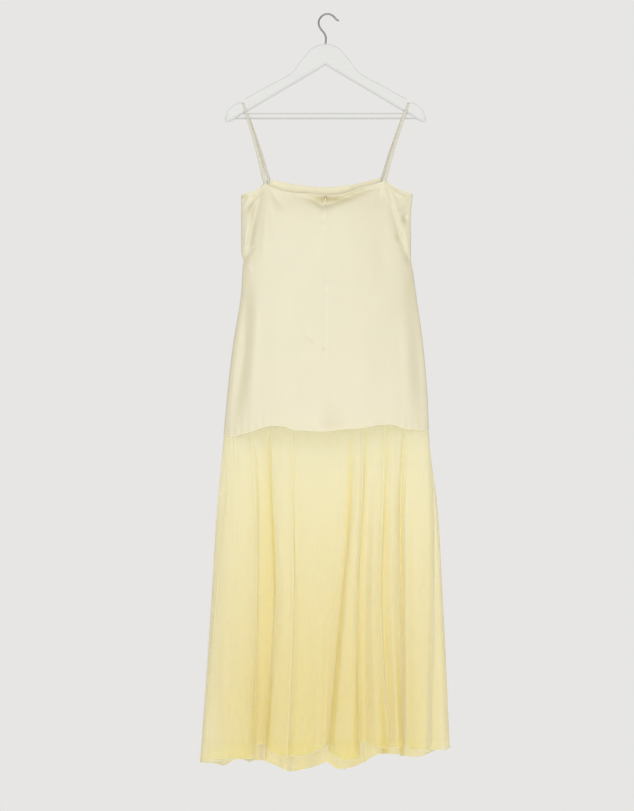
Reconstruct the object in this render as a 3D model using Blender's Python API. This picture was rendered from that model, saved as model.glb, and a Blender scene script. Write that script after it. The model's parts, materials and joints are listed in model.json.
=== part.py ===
"""A drop-waist maxi dress on a wooden hanger, hung from the hanger's hook.

The dress is a flat-hung tube of cloth walls: a satin bodice in three panels with thin straps
and a zip at the centre back, and a gored sheer skirt in fourteen panels. Its back faces -Y.
The origin is at the inner top of the hook. Metres, +Z up; the tables are in millimetres.
"""
import bisect
import functools
import math
from collections import namedtuple

import bmesh
import bpy
from mathutils import Matrix, Vector

COLLECTION = "drop_waist_maxi_dress"
CUTTERS = "cutters"
MM = 0.001
SEAM_GAP = 0.3
SATIN_WALL = 1.2
CHIFFON_WALL = 1.0

# Bodice: outline and depth of the tube at heights down from the hook
Section = namedtuple("Section", "down x_left x_right back_depth front_depth")
BODICE_SECTIONS = (
    Section(355, -184.8, 191.6, 10.0, 10.0),
    Section(396, -184.8, 191.6, 12.5, 14.0),
    Section(430, -184.8, 188.0, 17.0, 22.0),
    Section(495, -184.8, 187.6, 20.0, 29.0),
    Section(528, -183.4, 187.5, 20.5, 30.0),
    Section(541, -179.6, 187.5, 20.5, 30.0),
    Section(553, -181.2, 190.0, 20.5, 30.0),
    Section(605, -184.5, 197.6, 21.5, 29.5),
    Section(737, -204.6, 215.6, 24.0, 28.5),
    Section(847, -216.7, 224.4, 25.5, 28.0),
    Section(960, -226.5, 228.0, 27.0, 28.5),
)
SIDE_ROUNDING = 0.72

# Edges of the bodice, as height down from the hook across the dress
Edge = namedtuple("Edge", "x down")
BACK_NECK = (
    Edge(-184.8, 397.0), Edge(-176.0, 393.5), Edge(-153.0, 386.5), Edge(-138.0, 378.0),
    Edge(-132.5, 373.5), Edge(-126.0, 377.0), Edge(-100.0, 387.5), Edge(-78.0, 392.5),
    Edge(-34.0, 396.0), Edge(0.0, 400.0), Edge(43.0, 394.7), Edge(76.0, 382.6),
    Edge(105.0, 375.0), Edge(123.0, 369.5), Edge(129.0, 367.0), Edge(135.0, 370.5),
    Edge(155.0, 382.5), Edge(175.0, 389.0), Edge(191.6, 395.0),
)
FRONT_NECK = (
    Edge(-184.8, 397.0), Edge(-172.0, 393.0), Edge(-150.0, 384.0), Edge(-134.0, 368.0),
    Edge(-126.0, 360.0), Edge(-118.0, 361.5), Edge(-70.0, 371.0), Edge(0.0, 377.6),
    Edge(70.0, 370.0), Edge(118.0, 358.0), Edge(126.0, 356.0), Edge(134.0, 364.0),
    Edge(152.0, 381.0), Edge(175.0, 390.0), Edge(191.6, 395.0),
)
BACK_WAIST = (
    Edge(-222.6, 925.5), Edge(-204.0, 926.0), Edge(-184.0, 921.0), Edge(-166.0, 916.0),
    Edge(-148.0, 910.0), Edge(-139.0, 906.5), Edge(-100.0, 903.5), Edge(-84.0, 906.5),
    Edge(-73.0, 911.0), Edge(-48.0, 913.0), Edge(0.0, 914.5), Edge(43.0, 909.5),
    Edge(79.0, 907.5), Edge(115.0, 901.0), Edge(156.0, 902.5), Edge(170.0, 908.0),
    Edge(197.0, 911.0), Edge(226.8, 915.0),
)
FRONT_WAIST = (
    Edge(-222.6, 925.5), Edge(-160.0, 934.0), Edge(-100.0, 944.0), Edge(-47.0, 951.0),
    Edge(5.0, 951.5), Edge(40.0, 945.0), Edge(67.0, 938.0), Edge(130.0, 925.0),
    Edge(180.0, 918.0), Edge(226.8, 915.0),
)

# Folds of the bodice: a line through three places; its relief stands out of the wall
SatinFold = namedtuple(
    "SatinFold", "side x_top down_top x_mid down_mid x_low down_low half_width relief"
)
SATIN_FOLDS = (
    SatinFold("back", -137, 372, -153, 462, -176, 552, 11, -6.5),
    SatinFold("back", -128, 374, -133, 459, -141, 545, 13, 4.0),
    SatinFold("back", -148, 376, -157, 402, -172, 430, 9, -2.5),
    SatinFold("back", -170, 590, -178, 740, -204, 912, 13, -4.5),
    SatinFold("back", 127, 368, 145, 412, 168, 500, 12, 4.5),
    SatinFold("back", 138, 392, 153, 470, 188, 566, 12, -7.5),
    SatinFold("back", 188, 410, 178, 445, 160, 492, 10, -2.5),
    SatinFold("back", 196, 620, 204, 760, 212, 905, 14, -3.0),
    SatinFold("front", -128, 372, -112, 450, -104, 560, 12, 4.0),
    SatinFold("front", -146, 392, -140, 470, -152, 580, 11, -5.0),
    SatinFold("front", 128, 370, 116, 450, 98, 570, 12, 4.5),
    SatinFold("front", 148, 390, 146, 470, 160, 590, 11, -5.5),
    SatinFold("front", -60, 560, -70, 720, -92, 925, 24, -3.0),
    SatinFold("front", 52, 540, 66, 720, 84, 915, 24, -3.5),
)
# Hollows where the back neckline sags under the zip
Hollow = namedtuple("Hollow", "x down half_width half_height depth")
NECK_HOLLOWS = (
    Hollow(8, 417, 40, 11, 5.0),
    Hollow(72, 402, 42, 10, 3.5),
)

# Skirt: each row is a line down the skirt, turn degrees round from the centre back. Columns:
# x a fifth and half of the way down and at the hem, how far the hem stands towards the back
# (negative is towards the front), and the hem's height down from the hook.
Fold = namedtuple("Fold", "name turn x_high x_mid x_hem out_hem down_hem")
SKIRT_FOLDS = (
    Fold("left_seam", -73.4, -217.8, -237.6, -268.0, 28, 1636),
    Fold("back_fold_1", -58.7, -188.0, -197.0, -214.0, 48, 1624),
    Fold("back_seam_1", -47.9, -153.0, -150.5, -155.0, 50, 1620),
    Fold("back_turn_1", -44.4, -146.5, -148.0, -163.0, 28, 1606),
    Fold("back_recess", -39.9, -135.0, -134.0, -146.0, 20, 1599),
    Fold("back_turn_2", -35.7, -122.5, -114.0, -121.0, 24, 1598),
    Fold("back_seam_2", -32.8, -115.0, -108.0, -133.5, 42, 1599),
    Fold("back_fold_2", -26.5, -95.0, -91.0, -109.0, 57, 1612),
    Fold("back_seam_3", -19.2, -71.0, -70.8, -83.4, 54, 1620),
    Fold("back_groove", -16.6, -66.0, -65.0, -75.0, 46, 1619),
    Fold("back_centre_left", -9.5, -36.0, -37.0, -48.0, 46, 1618),
    Fold("back_centre", -1.0, -5.0, -9.0, -19.0, 40, 1609),
    Fold("back_centre_right", 8.5, 30.0, 16.0, -1.0, 33, 1599),
    Fold("back_turn_3", 13.2, 52.0, 42.5, 17.0, 23, 1597),
    Fold("back_bend_3", 14.8, 58.5, 45.5, 18.5, 30, 1599),
    Fold("back_edge_3", 16.8, 59.5, 38.0, 5.4, 42, 1607),
    Fold("back_fold_3", 18.9, 70.0, 54.5, 38.0, 63, 1623),
    Fold("back_seam_4", 20.9, 79.5, 69.5, 74.7, 50, 1620),
    Fold("back_turn_4", 23.3, 85.0, 72.0, 62.0, 28, 1602),
    Fold("back_hollow_4", 26.0, 94.0, 86.0, 84.0, 27, 1594),
    Fold("back_fold_4", 30.0, 109.0, 101.0, 112.0, 47, 1599),
    Fold("back_seam_5", 34.3, 125.5, 118.5, 138.0, 42, 1603),
    Fold("back_turn_5", 37.5, 134.0, 126.0, 140.0, 25, 1600),
    Fold("back_fold_5", 41.9, 147.0, 144.0, 156.0, 41, 1602),
    Fold("back_edge_5", 46.0, 157.0, 158.0, 167.5, 33, 1600),
    Fold("back_seam_6", 49.7, 165.0, 166.5, 170.0, 10, 1598),
    Fold("back_edge_6", 53.6, 175.5, 175.0, 175.5, 36, 1601),
    Fold("back_fold_6", 64.0, 201.0, 199.0, 200.0, 56, 1603),
    Fold("right_seam", 87.6, 232.0, 232.0, 223.0, 44, 1606),
    Fold("right_turn", 91.5, 236.0, 238.0, 231.0, 26, 1608),
    Fold("right_fold", 96.0, 240.5, 250.0, 260.0, 24, 1611),
    Fold("right_edge", 101.0, 243.0, 256.0, 273.0, 8, 1610),
    Fold("right_back", 108.0, 236.0, 247.0, 258.0, -18, 1614),
    Fold("front_fold_1", 121.0, 196.0, 205.0, 214.0, -60, 1644),
    Fold("front_seam_1", 131.0, 162.0, 158.0, 166.0, -52, 1641),
    Fold("front_turn_1", 135.0, 153.0, 155.0, 174.0, -30, 1634),
    Fold("front_recess", 139.4, 141.0, 140.0, 154.0, -22, 1630),
    Fold("front_turn_2", 144.0, 128.0, 119.0, 127.0, -26, 1630),
    Fold("front_seam_2", 147.0, 119.0, 112.0, 138.0, -44, 1634),
    Fold("front_fold_2", 153.0, 98.0, 94.0, 112.0, -60, 1642),
    Fold("front_seam_3", 160.5, 76.0, 75.0, 84.0, -56, 1658),
    Fold("front_centre_right", 169.0, 44.0, 46.0, 56.0, -50, 1667),
    Fold("front_centre", 178.0, 10.0, 14.0, 26.0, -44, 1668),
    Fold("front_centre_left", 187.0, -20.0, -10.0, 4.0, -40, 1653),
    Fold("front_turn_3", 192.2, -42.5, -30.0, -9.0, -41, 1656),
    Fold("front_bend_3", 193.9, -47.5, -34.5, -16.0, -44, 1660),
    Fold("front_edge_3", 196.0, -53.0, -39.0, -26.0, -50, 1665),
    Fold("front_fold_3", 198.5, -63.0, -50.0, -48.0, -61, 1674),
    Fold("front_seam_4", 200.5, -73.0, -63.0, -74.0, -57, 1677),
    Fold("front_turn_4", 203.0, -79.0, -70.0, -84.0, -45, 1673),
    Fold("front_hollow_4", 206.0, -88.0, -80.0, -94.0, -40, 1668),
    Fold("front_fold_4", 210.0, -103.0, -95.0, -109.0, -50, 1663),
    Fold("front_seam_5", 214.0, -119.0, -113.0, -133.0, -46, 1652),
    Fold("front_turn_5", 218.0, -128.0, -120.0, -136.0, -28, 1646),
    Fold("front_fold_5", 223.2, -141.0, -138.0, -151.0, -44, 1649),
    Fold("front_edge_5", 227.0, -152.0, -153.0, -161.0, -36, 1648),
    Fold("front_seam_6", 230.5, -161.0, -162.0, -167.0, -14, 1646),
    Fold("front_edge_6", 234.5, -171.0, -171.0, -173.5, -40, 1650),
    Fold("front_fold_6", 246.0, -196.0, -194.0, -198.0, -60, 1650),
    Fold("left_back", 258.0, -221.0, -226.0, -226.0, -44, 1661),
    Fold("left_turn", 265.0, -229.0, -236.0, -240.0, -26, 1653),
    Fold("left_edge", 275.0, -236.5, -250.4, -275.4, -2, 1644),
)
FOLD_LEVELS = (0.0, 0.2, 0.5, 1.0)
FOLD_ROUNDING = 0.6
LEAST_COLUMNS = 2
COLUMN_TURN = 4.2
FULL_TURN = 360.0
CENTRE_BACK_TURN = -1.0

# Panels of the skirt: node, and the lines it runs between
SkirtPanel = namedtuple("SkirtPanel", "name first last")
SKIRT_PANELS = (
    SkirtPanel("skirt_back_left_3", "left_seam", "back_seam_1"),
    SkirtPanel("skirt_back_left_2", "back_seam_1", "back_seam_2"),
    SkirtPanel("skirt_back_left_1", "back_seam_2", "back_seam_3"),
    SkirtPanel("skirt_back_centre", "back_seam_3", "back_seam_4"),
    SkirtPanel("skirt_back_right_1", "back_seam_4", "back_seam_5"),
    SkirtPanel("skirt_back_right_2", "back_seam_5", "back_seam_6"),
    SkirtPanel("skirt_back_right_3", "back_seam_6", "right_seam"),
    SkirtPanel("skirt_front_right_3", "right_seam", "front_seam_1"),
    SkirtPanel("skirt_front_right_2", "front_seam_1", "front_seam_2"),
    SkirtPanel("skirt_front_right_1", "front_seam_2", "front_seam_3"),
    SkirtPanel("skirt_front_centre", "front_seam_3", "front_seam_4"),
    SkirtPanel("skirt_front_left_1", "front_seam_4", "front_seam_5"),
    SkirtPanel("skirt_front_left_2", "front_seam_5", "front_seam_6"),
    SkirtPanel("skirt_front_left_3", "front_seam_6", "left_seam"),
)
SKIRT_ROWS = (0.0, 0.05, 0.12, 0.2, 0.3, 0.4, 0.5, 0.6, 0.7, 0.8, 0.9, 1.0)
BODICE_ROWS = (0.0, 0.02, 0.05, 0.085, 0.125, 0.17, 0.215, 0.26, 0.31, 0.42, 0.58, 0.78, 1.0)

# Straps: thin flat ribbons over the hanger's notches
STRAP_WIDTH = 7.5
STRAP_NOTCH_WIDTH = 5.0
STRAP_THICKNESS = 1.6
Strap = namedtuple("Strap", "name back_turn front_turn notch_x")
STRAPS = (
    Strap("strap_left", -46.15, 223.2, -180.6),
    Strap("strap_right", 41.9, 139.4, 182.0),
)

# Hanger: straight slanted lower edges, which also carry the bar between its pointed ends
HANGER_THICKNESS = 13.0
HANGER_ROUNDING = 2.6
NOTCH_WIDTH = 6.2
NOTCH_HEIGHT = 12.0
NOTCH_FLOOR = 196.0
BAR_DIAMETER = 13.5
BAR_DOWN = 222.4
WIRE_DIAMETER = 4.0
STEM_HOLE_DEPTH = 20.0
Corner = namedtuple("Corner", "x down handle")
LOWER_EDGE_OUTER = Corner(208.0, 234.2, "VECTOR")
LOWER_EDGE_INNER = Corner(9.0, 116.4, "VECTOR")
HANGER_EDGE = (
    Corner(0.0, 64.7, "AUTO"), Corner(33.0, 77.0, "AUTO"), Corner(52.0, 99.7, "AUTO"),
    Corner(71.0, 124.5, "AUTO"), Corner(93.5, 139.8, "AUTO"), Corner(120.0, 153.2, "VECTOR"),
    Corner(179.2, 186.4, "VECTOR"), Corner(185.5, 193.0, "VECTOR"), Corner(191.0, 193.6, "AUTO"),
    Corner(204.4, 201.3, "AUTO"), Corner(216.3, 214.9, "AUTO"), Corner(221.4, 228.4, "AUTO"),
    Corner(219.4, 236.4, "AUTO"), LOWER_EDGE_OUTER, LOWER_EDGE_INNER, Corner(0.0, 110.0, "VECTOR"),
)
Bend = namedtuple("Bend", "x down")
HOOK_LINE = (
    Bend(0.0, 84.0), Bend(0.0, 66.0), Bend(0.0, 46.0), Bend(-4.0, 38.5), Bend(-9.4, 32.0),
    Bend(-14.2, 23.0), Bend(-14.9, 14.5), Bend(-11.0, 6.0), Bend(-4.4, 0.0), Bend(4.0, -2.2),
    Bend(12.2, -0.6), Bend(18.6, 4.0), Bend(23.6, 9.6), Bend(29.5, 13.2),
)

# Zip at the centre back
TAPE_WIDTH = 24.0
TAPE_THICKNESS = 1.0
TAPE_GAP = 0.5
TAPE_ROWS = (0.02, 0.045, 0.08, 0.125, 0.18, 0.245, 0.3, 0.38, 0.5, 0.64)
SLIDER_DOWN = 404.0
SLIDER_LEAN = 0.5
SLIDER_SIZE = (4.6, 2.0, 7.0)
CHEEK_SIZE = (0.9, 3.2, 2.6)
CHEEK_SPACING = 3.7
PIN_DIAMETER = 1.1
PIN_STANDOFF = 2.0
PULL_LENGTH = 19.0
PULL_WIDTH = 2.2
PULL_WAIST = 1.5
PULL_END_WIDTH = 3.6
PULL_THICKNESS = 0.9
PULL_EYE_RADIUS = 1.55
PULL_HOLE_RADIUS = 0.85

COLOURS = {
    "satin": ((0.84, 0.79, 0.61), 0.38, 0.0),
    "chiffon": ((0.83, 0.73, 0.40), 0.7, 0.0),
    "strap": ((0.80, 0.77, 0.64), 0.45, 0.0),
    "wood": ((0.86, 0.86, 0.85), 0.35, 0.0),
    "steel": ((0.62, 0.62, 0.62), 0.25, 1.0),
    "zip": ((0.80, 0.76, 0.60), 0.5, 0.0),
}


def knot_slope(knots, values, index):
    """Slope at a knot, from the stretches on its two sides."""
    before = max(index - 1, 0)
    after = min(index + 1, len(knots) - 1)
    if before == index or after == index:
        return (values[after] - values[before]) / (knots[after] - knots[before])
    span_before = knots[index] - knots[before]
    span_after = knots[after] - knots[index]
    slope_before = (values[index] - values[before]) / span_before
    slope_after = (values[after] - values[index]) / span_after
    return (slope_before * span_after + slope_after * span_before) / (span_before + span_after)


def smooth_through(knots, values, place):
    """Value at a place on the smooth line through all knots, level beyond its ends."""
    if place <= knots[0]:
        return values[0]
    if place >= knots[-1]:
        return values[-1]
    right = bisect.bisect_right(knots, place)
    left = right - 1
    span = knots[right] - knots[left]
    part = (place - knots[left]) / span
    rise_left = knot_slope(knots, values, left) * span
    rise_right = knot_slope(knots, values, right) * span
    weight = part * part * (3.0 - 2.0 * part)
    value = values[left] * (1.0 - weight) + values[right] * weight
    value = value + rise_left * (part * (1.0 - part) ** 2)
    return value - rise_right * (part * part * (1.0 - part))


def edge_down(edge, x):
    """Height down from the hook of an edge of the bodice at a place across the dress."""
    return smooth_through([row.x for row in edge], [row.down for row in edge], x)


def section_at(down):
    """Left side, right side, back depth and front depth of the bodice at a height."""
    knots = [row.down for row in BODICE_SECTIONS]
    columns = list(zip(*BODICE_SECTIONS))[1:]
    return [smooth_through(knots, column, down) for column in columns]


def across(turn, down):
    """Place across the dress of a line that lies so many degrees round it."""
    x_left, x_right = section_at(down)[:2]
    middle = (x_left + x_right) / 2
    return middle + (x_right - x_left) / 2 * math.sin(math.radians(turn))


def satin_relief(side, x, down):
    """How far the folds and hollows of the satin stand out of its smooth form."""
    total = 0.0
    for fold in SATIN_FOLDS:
        if fold.side != side or not fold.down_top < down < fold.down_low:
            continue
        knots = (fold.down_top, fold.down_mid, fold.down_low)
        line = smooth_through(knots, (fold.x_top, fold.x_mid, fold.x_low), down)
        part = (down - fold.down_top) / (fold.down_low - fold.down_top)
        fade = math.sin(math.pi * part)
        total += fold.relief * fade * math.exp(-(((x - line) / fold.half_width) ** 2))
    if side == "back":
        for hollow in NECK_HOLLOWS:
            wide = ((x - hollow.x) / hollow.half_width) ** 2
            high = ((down - hollow.down) / hollow.half_height) ** 2
            total -= hollow.depth * math.exp(-wide - high)
    return total


def bodice_place(turn, down):
    """Middle of the satin wall at a turn round the dress and a height."""
    back_depth, front_depth = section_at(down)[2:]
    x = across(turn, down)
    facing = math.cos(math.radians(turn))
    side = "back" if facing > 0 else "front"
    depth = back_depth if facing > 0 else front_depth
    bulge = abs(facing) ** SIDE_ROUNDING
    out = depth * bulge + satin_relief(side, x, down) * min(1.0, bulge * 2.0)
    return Vector((x, -math.copysign(out, facing), -down))


def neck_down(turn):
    """Height down of the bodice's top edge."""
    edge = BACK_NECK if math.cos(math.radians(turn)) > 0 else FRONT_NECK
    return edge_down(edge, across(turn, BODICE_SECTIONS[1].down))


def waist_down(turn):
    """Height down of the seam between satin and skirt."""
    edge = BACK_WAIST if math.cos(math.radians(turn)) > 0 else FRONT_WAIST
    return edge_down(edge, across(turn, edge[0].down - SEAM_GAP))


@functools.cache
def satin_point(turn, part):
    """Middle of the satin wall, part of the way from the top edge to the waist seam."""
    top = neck_down(turn)
    bottom = waist_down(turn) - SEAM_GAP / 2
    return bodice_place(turn, top + (bottom - top) * part)


def fold_growth(part):
    """Share of a fold's full depth that it has, part of the way down the skirt."""
    return 1.9 * part - 1.4 * part ** 2 + 0.5 * part ** 3


def fold_shift(fold, part):
    """How far a line of the skirt has moved from its place at the waist."""
    waist = bodice_place(fold.turn, waist_down(fold.turn))
    x = smooth_through(FOLD_LEVELS, (waist.x, fold.x_high, fold.x_mid, fold.x_hem), part)
    y = waist.y + (-fold.out_hem - waist.y) * fold_growth(part)
    return Vector((x - waist.x, y - waist.y))


def lines_all_round():
    """The skirt's lines, carried on past the left seam at both ends of the round."""
    before = [fold._replace(turn=fold.turn - FULL_TURN) for fold in SKIRT_FOLDS[-2:]]
    after = [fold._replace(turn=fold.turn + FULL_TURN) for fold in SKIRT_FOLDS[:2]]
    return before + list(SKIRT_FOLDS) + after


def hem_places():
    """Places of the lines along the hem, spaced so that tight folds stay round."""
    places = [0.0]
    for fold, following in zip(ROUND, ROUND[1:]):
        step = math.hypot(following.x_hem - fold.x_hem, following.out_hem - fold.out_hem)
        places.append(places[-1] + step ** FOLD_ROUNDING)
    return places


ROUND = lines_all_round()
ROUND_TURNS = [fold.turn for fold in ROUND]
ROUND_HEMS = [fold.down_hem for fold in ROUND]
HEM_PLACES = hem_places()
SHIFTS_AT_PART = {}


def hem_place(turn):
    """Place along the hem of a column that starts at a turn round the waist."""
    right = min(max(bisect.bisect_right(ROUND_TURNS, turn), 1), len(ROUND) - 1)
    before, after = ROUND_TURNS[right - 1], ROUND_TURNS[right]
    share = (turn - before) / (after - before)
    return HEM_PLACES[right - 1] + share * (HEM_PLACES[right] - HEM_PLACES[right - 1])


@functools.cache
def skirt_point(turn, part):
    """Middle of the skirt's wall, part of the way from the waist seam to the hem."""
    if part not in SHIFTS_AT_PART:
        SHIFTS_AT_PART[part] = [fold_shift(fold, part) for fold in ROUND]
    place = hem_place(turn)
    shift = smooth_through(HEM_PLACES, SHIFTS_AT_PART[part], place)
    seam = waist_down(turn)
    waist = bodice_place(turn, seam)
    hem = smooth_through(HEM_PLACES, ROUND_HEMS, place)
    top = seam + SEAM_GAP / 2
    return Vector((waist.x + shift.x, waist.y + shift.y, -(top + (hem - top) * part)))


def turn_of(name):
    """Turn round the dress of a named line of the skirt."""
    return next(fold.turn for fold in SKIRT_FOLDS if fold.name == name)


def columns_between(first, last):
    """Turns of a panel's columns, from its first line round to its last."""
    if last <= first:
        last += FULL_TURN
    knots = [turn for turn in ROUND_TURNS if first <= turn <= last]
    columns = []
    for start, end in zip(knots, knots[1:]):
        columns_here = max(LEAST_COLUMNS, round((end - start) / COLUMN_TURN))
        step = (end - start) / columns_here
        columns += [start + step * count for count in range(columns_here)]
    return columns + [last]


def outward(surface, turn, part):
    """Level directions along the wall and out of it, at a point."""
    reach = 0.4
    along = surface(turn + reach, part) - surface(turn - reach, part)
    along.z = 0.0
    along.normalize()
    return along, Vector((along.y, -along.x, 0.0))


def falling_cuts(surface, columns, parts):
    """For each quad of a wall, whether its shape is kept by the diagonal from its upper left."""
    cuts = []
    for part, lower_part in zip(parts, parts[1:]):
        row = []
        for turn, following in zip(columns, columns[1:]):
            centre = surface((turn + following) / 2, (part + lower_part) / 2)
            falling = (surface(turn, part) + surface(following, lower_part)) / 2
            rising = (surface(following, part) + surface(turn, lower_part)) / 2
            row.append((falling - centre).length < (rising - centre).length)
        cuts.append(row)
    return cuts


def wall_rings(surface, columns, parts, thickness, shift):
    """Outer and inner points of a wall, trimmed by half a seam gap at its two side edges."""
    outer, inner = [], []
    for part in parts:
        outer_row, inner_row = [], []
        for index, turn in enumerate(columns):
            along, out = outward(surface, turn, part)
            middle = surface(turn, part) + out * shift
            if index == 0:
                middle = middle + along * (SEAM_GAP / 2)
            if index == len(columns) - 1:
                middle = middle - along * (SEAM_GAP / 2)
            outer_row.append(middle + out * (thickness / 2))
            inner_row.append(middle - out * (thickness / 2))
        outer.append(outer_row)
        inner.append(inner_row)
    return outer, inner


def skin(mesh, rows, cuts):
    """Triangles over a grid of vertices, along the given diagonals."""
    for upper, lower, row_cuts in zip(rows, rows[1:], cuts):
        for column, falling in enumerate(row_cuts):
            corners = [upper[column], lower[column], lower[column + 1], upper[column + 1]]
            start = 0 if falling else 1
            around = corners[start:] + corners[:start]
            mesh.faces.new((around[0], around[1], around[2]))
            mesh.faces.new((around[0], around[2], around[3]))


def rim(mesh, outer_line, inner_line):
    """Quads that close a wall along one edge."""
    for index in range(len(outer_line) - 1):
        mesh.faces.new(
            (outer_line[index], outer_line[index + 1], inner_line[index + 1], inner_line[index])
        )


def build_wall(name, finish, surface, columns, parts, thickness, shift=0.0):
    """One closed wall of cloth over a surface, cut alike on its outer and inner side."""
    mesh = bmesh.new()
    rings = wall_rings(surface, columns, parts, thickness, shift)
    outer, inner = [[[mesh.verts.new(point * MM) for point in row] for row in side] for side in rings]
    cuts = falling_cuts(surface, columns, parts)
    skin(mesh, outer, cuts)
    skin(mesh, inner, cuts)
    rim(mesh, outer[0], inner[0])
    rim(mesh, outer[-1][::-1], inner[-1][::-1])
    rim(mesh, [row[0] for row in outer][::-1], [row[0] for row in inner][::-1])
    rim(mesh, [row[-1] for row in outer], [row[-1] for row in inner])
    return finish_mesh(name, finish, mesh)


def finish_mesh(name, finish, mesh):
    """An object in the dress's collection from a bmesh, with its faces pointing out."""
    bmesh.ops.recalc_face_normals(mesh, faces=mesh.faces)
    data = bpy.data.meshes.new(name)
    mesh.to_mesh(data)
    mesh.free()
    return place_object(name, finish, data)


def place_object(name, finish, data):
    """Links an object with a material of its own."""
    item = bpy.data.objects.new(name, data)
    bpy.data.collections[COLLECTION].objects.link(item)
    colour, roughness, metallic = COLOURS[finish]
    material = bpy.data.materials.new(name + "_" + finish)
    material.use_nodes = True
    shader = material.node_tree.nodes["Principled BSDF"]
    shader.inputs["Base Color"].default_value = (*colour, 1.0)
    shader.inputs["Roughness"].default_value = roughness
    shader.inputs["Metallic"].default_value = metallic
    data.materials.clear()
    data.materials.append(material)
    return item


def link_cutter(item):
    """Marks an object as a cutter, which only shapes others."""
    bpy.data.collections[CUTTERS].objects.link(item)
    item.hide_render = True
    item.display_type = "WIRE"
    return item


def box_mesh(mesh, centre, size):
    """Adds a box to a bmesh."""
    made = bmesh.ops.create_cube(mesh, size=1.0)
    place = Matrix.Translation(Vector(centre) * MM) @ Matrix.Diagonal((*[side * MM for side in size], 1.0))
    bmesh.ops.transform(mesh, matrix=place, verts=made["verts"])


def mesh_cutter(name, mesh):
    """A cutter from a bmesh."""
    data = bpy.data.meshes.new(name)
    mesh.to_mesh(data)
    mesh.free()
    return link_cutter(bpy.data.objects.new(name, data))


def cylinder_cutter(name, centre, axis, radius, length, sides=24):
    """A cylinder along an axis, which cuts a hole or adds a round pin."""
    mesh = bmesh.new()
    bmesh.ops.create_cone(
        mesh, cap_ends=True, segments=sides, radius1=radius * MM, radius2=radius * MM, depth=length * MM
    )
    item = mesh_cutter(name, mesh)
    item.location = Vector(centre) * MM
    item.rotation_mode = "QUATERNION"
    item.rotation_quaternion = Vector(axis).to_track_quat("Z", "Y")
    return item


def combine(item, other, operation):
    """Cuts or joins another object with this one by a Boolean."""
    step = item.modifiers.new(other.name, "BOOLEAN")
    step.operation = operation
    step.object = other


def curve_to_mesh(item):
    """The closed mesh of a curve object, with its caps welded on."""
    data = bpy.data.meshes.new_from_object(item.evaluated_get(bpy.context.evaluated_depsgraph_get()))
    mesh = bmesh.new()
    mesh.from_mesh(data)
    bmesh.ops.transform(mesh, matrix=item.matrix_world, verts=mesh.verts)
    bmesh.ops.remove_doubles(mesh, verts=mesh.verts, dist=0.00002)
    curve = item.data
    bpy.data.objects.remove(item)
    bpy.data.curves.remove(curve)
    return mesh


def build_bodice():
    """The satin front and the two halves of the back, split by the zip."""
    left = turn_of("left_seam")
    right = turn_of("right_seam")
    spans = (
        ("satin_back_left", left, CENTRE_BACK_TURN),
        ("satin_back_right", CENTRE_BACK_TURN, right),
        ("satin_front", right, left),
    )
    for name, first, last in spans:
        columns = columns_between(first, last)
        build_wall(name, "satin", satin_point, columns, BODICE_ROWS, SATIN_WALL)


def build_skirt():
    """The fourteen gores."""
    for panel in SKIRT_PANELS:
        columns = columns_between(turn_of(panel.first), turn_of(panel.last))
        build_wall(panel.name, "chiffon", skirt_point, columns, SKIRT_ROWS, CHIFFON_WALL)


def hanger_outline():
    """Closed outline of the hanger: the right half, then its mirror image."""
    right = list(HANGER_EDGE)
    left = [corner._replace(x=-corner.x) for corner in HANGER_EDGE[-2:0:-1]]
    return right + left


def build_hanger_body():
    """The shaped wooden body, notched for the straps and drilled for the hook's stem."""
    curve = bpy.data.curves.new("hanger_outline", "CURVE")
    curve.dimensions = "2D"
    curve.fill_mode = "BOTH"
    curve.resolution_u = 3
    curve.bevel_depth = HANGER_ROUNDING * MM
    curve.bevel_resolution = 1
    curve.offset = -HANGER_ROUNDING * MM
    curve.extrude = (HANGER_THICKNESS / 2 - HANGER_ROUNDING) * MM
    corners = hanger_outline()
    spline = curve.splines.new("BEZIER")
    spline.bezier_points.add(len(corners) - 1)
    spline.use_cyclic_u = True
    for point, corner in zip(spline.bezier_points, corners):
        point.co = (corner.x * MM, -corner.down * MM, 0.0)
        point.handle_left_type = corner.handle
        point.handle_right_type = corner.handle
    outline = bpy.data.objects.new("hanger_outline", curve)
    bpy.context.scene.collection.objects.link(outline)
    outline.rotation_euler = (math.pi / 2, 0.0, 0.0)
    bpy.context.view_layer.update()
    body = finish_mesh("hanger_body", "wood", curve_to_mesh(outline))
    for strap in STRAPS:
        notch = bmesh.new()
        centre = (strap.notch_x, 0.0, NOTCH_HEIGHT / 2 - NOTCH_FLOOR)
        box_mesh(notch, centre, (NOTCH_WIDTH, HANGER_THICKNESS * 2, NOTCH_HEIGHT))
        combine(body, mesh_cutter(strap.name + "_notch", notch), "DIFFERENCE")
    top = HANGER_EDGE[0].down
    hole = cylinder_cutter(
        "stem_hole", (0.0, 0.0, -top), (0, 0, 1), WIRE_DIAMETER / 2 + SEAM_GAP, STEM_HOLE_DEPTH * 2, 16
    )
    combine(body, hole, "DIFFERENCE")


def build_hanger_bar():
    """The round bar, cut slanting at both ends to lie against the hanger's lower edges."""
    bpy.ops.mesh.primitive_cylinder_add(vertices=20, radius=BAR_DIAMETER / 2 * MM, depth=BAR_DOWN * MM)
    made = bpy.context.object
    data = made.data
    data.transform(Matrix.Rotation(math.pi / 2, 4, "Y"))
    bpy.data.objects.remove(made)
    inner = LOWER_EDGE_INNER
    slant = (LOWER_EDGE_OUTER.x - inner.x) / (LOWER_EDGE_OUTER.down - inner.down)
    gap = SEAM_GAP * math.hypot(1.0, slant)
    for vert in data.vertices:
        down = BAR_DOWN - vert.co.z / MM
        reach = inner.x + (down - inner.down) * slant - gap
        vert.co.x = math.copysign(reach * MM, vert.co.x)
    bar = place_object("hanger_bar", "wood", data)
    bar.location = (0.0, 0.0, -BAR_DOWN * MM)


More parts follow.
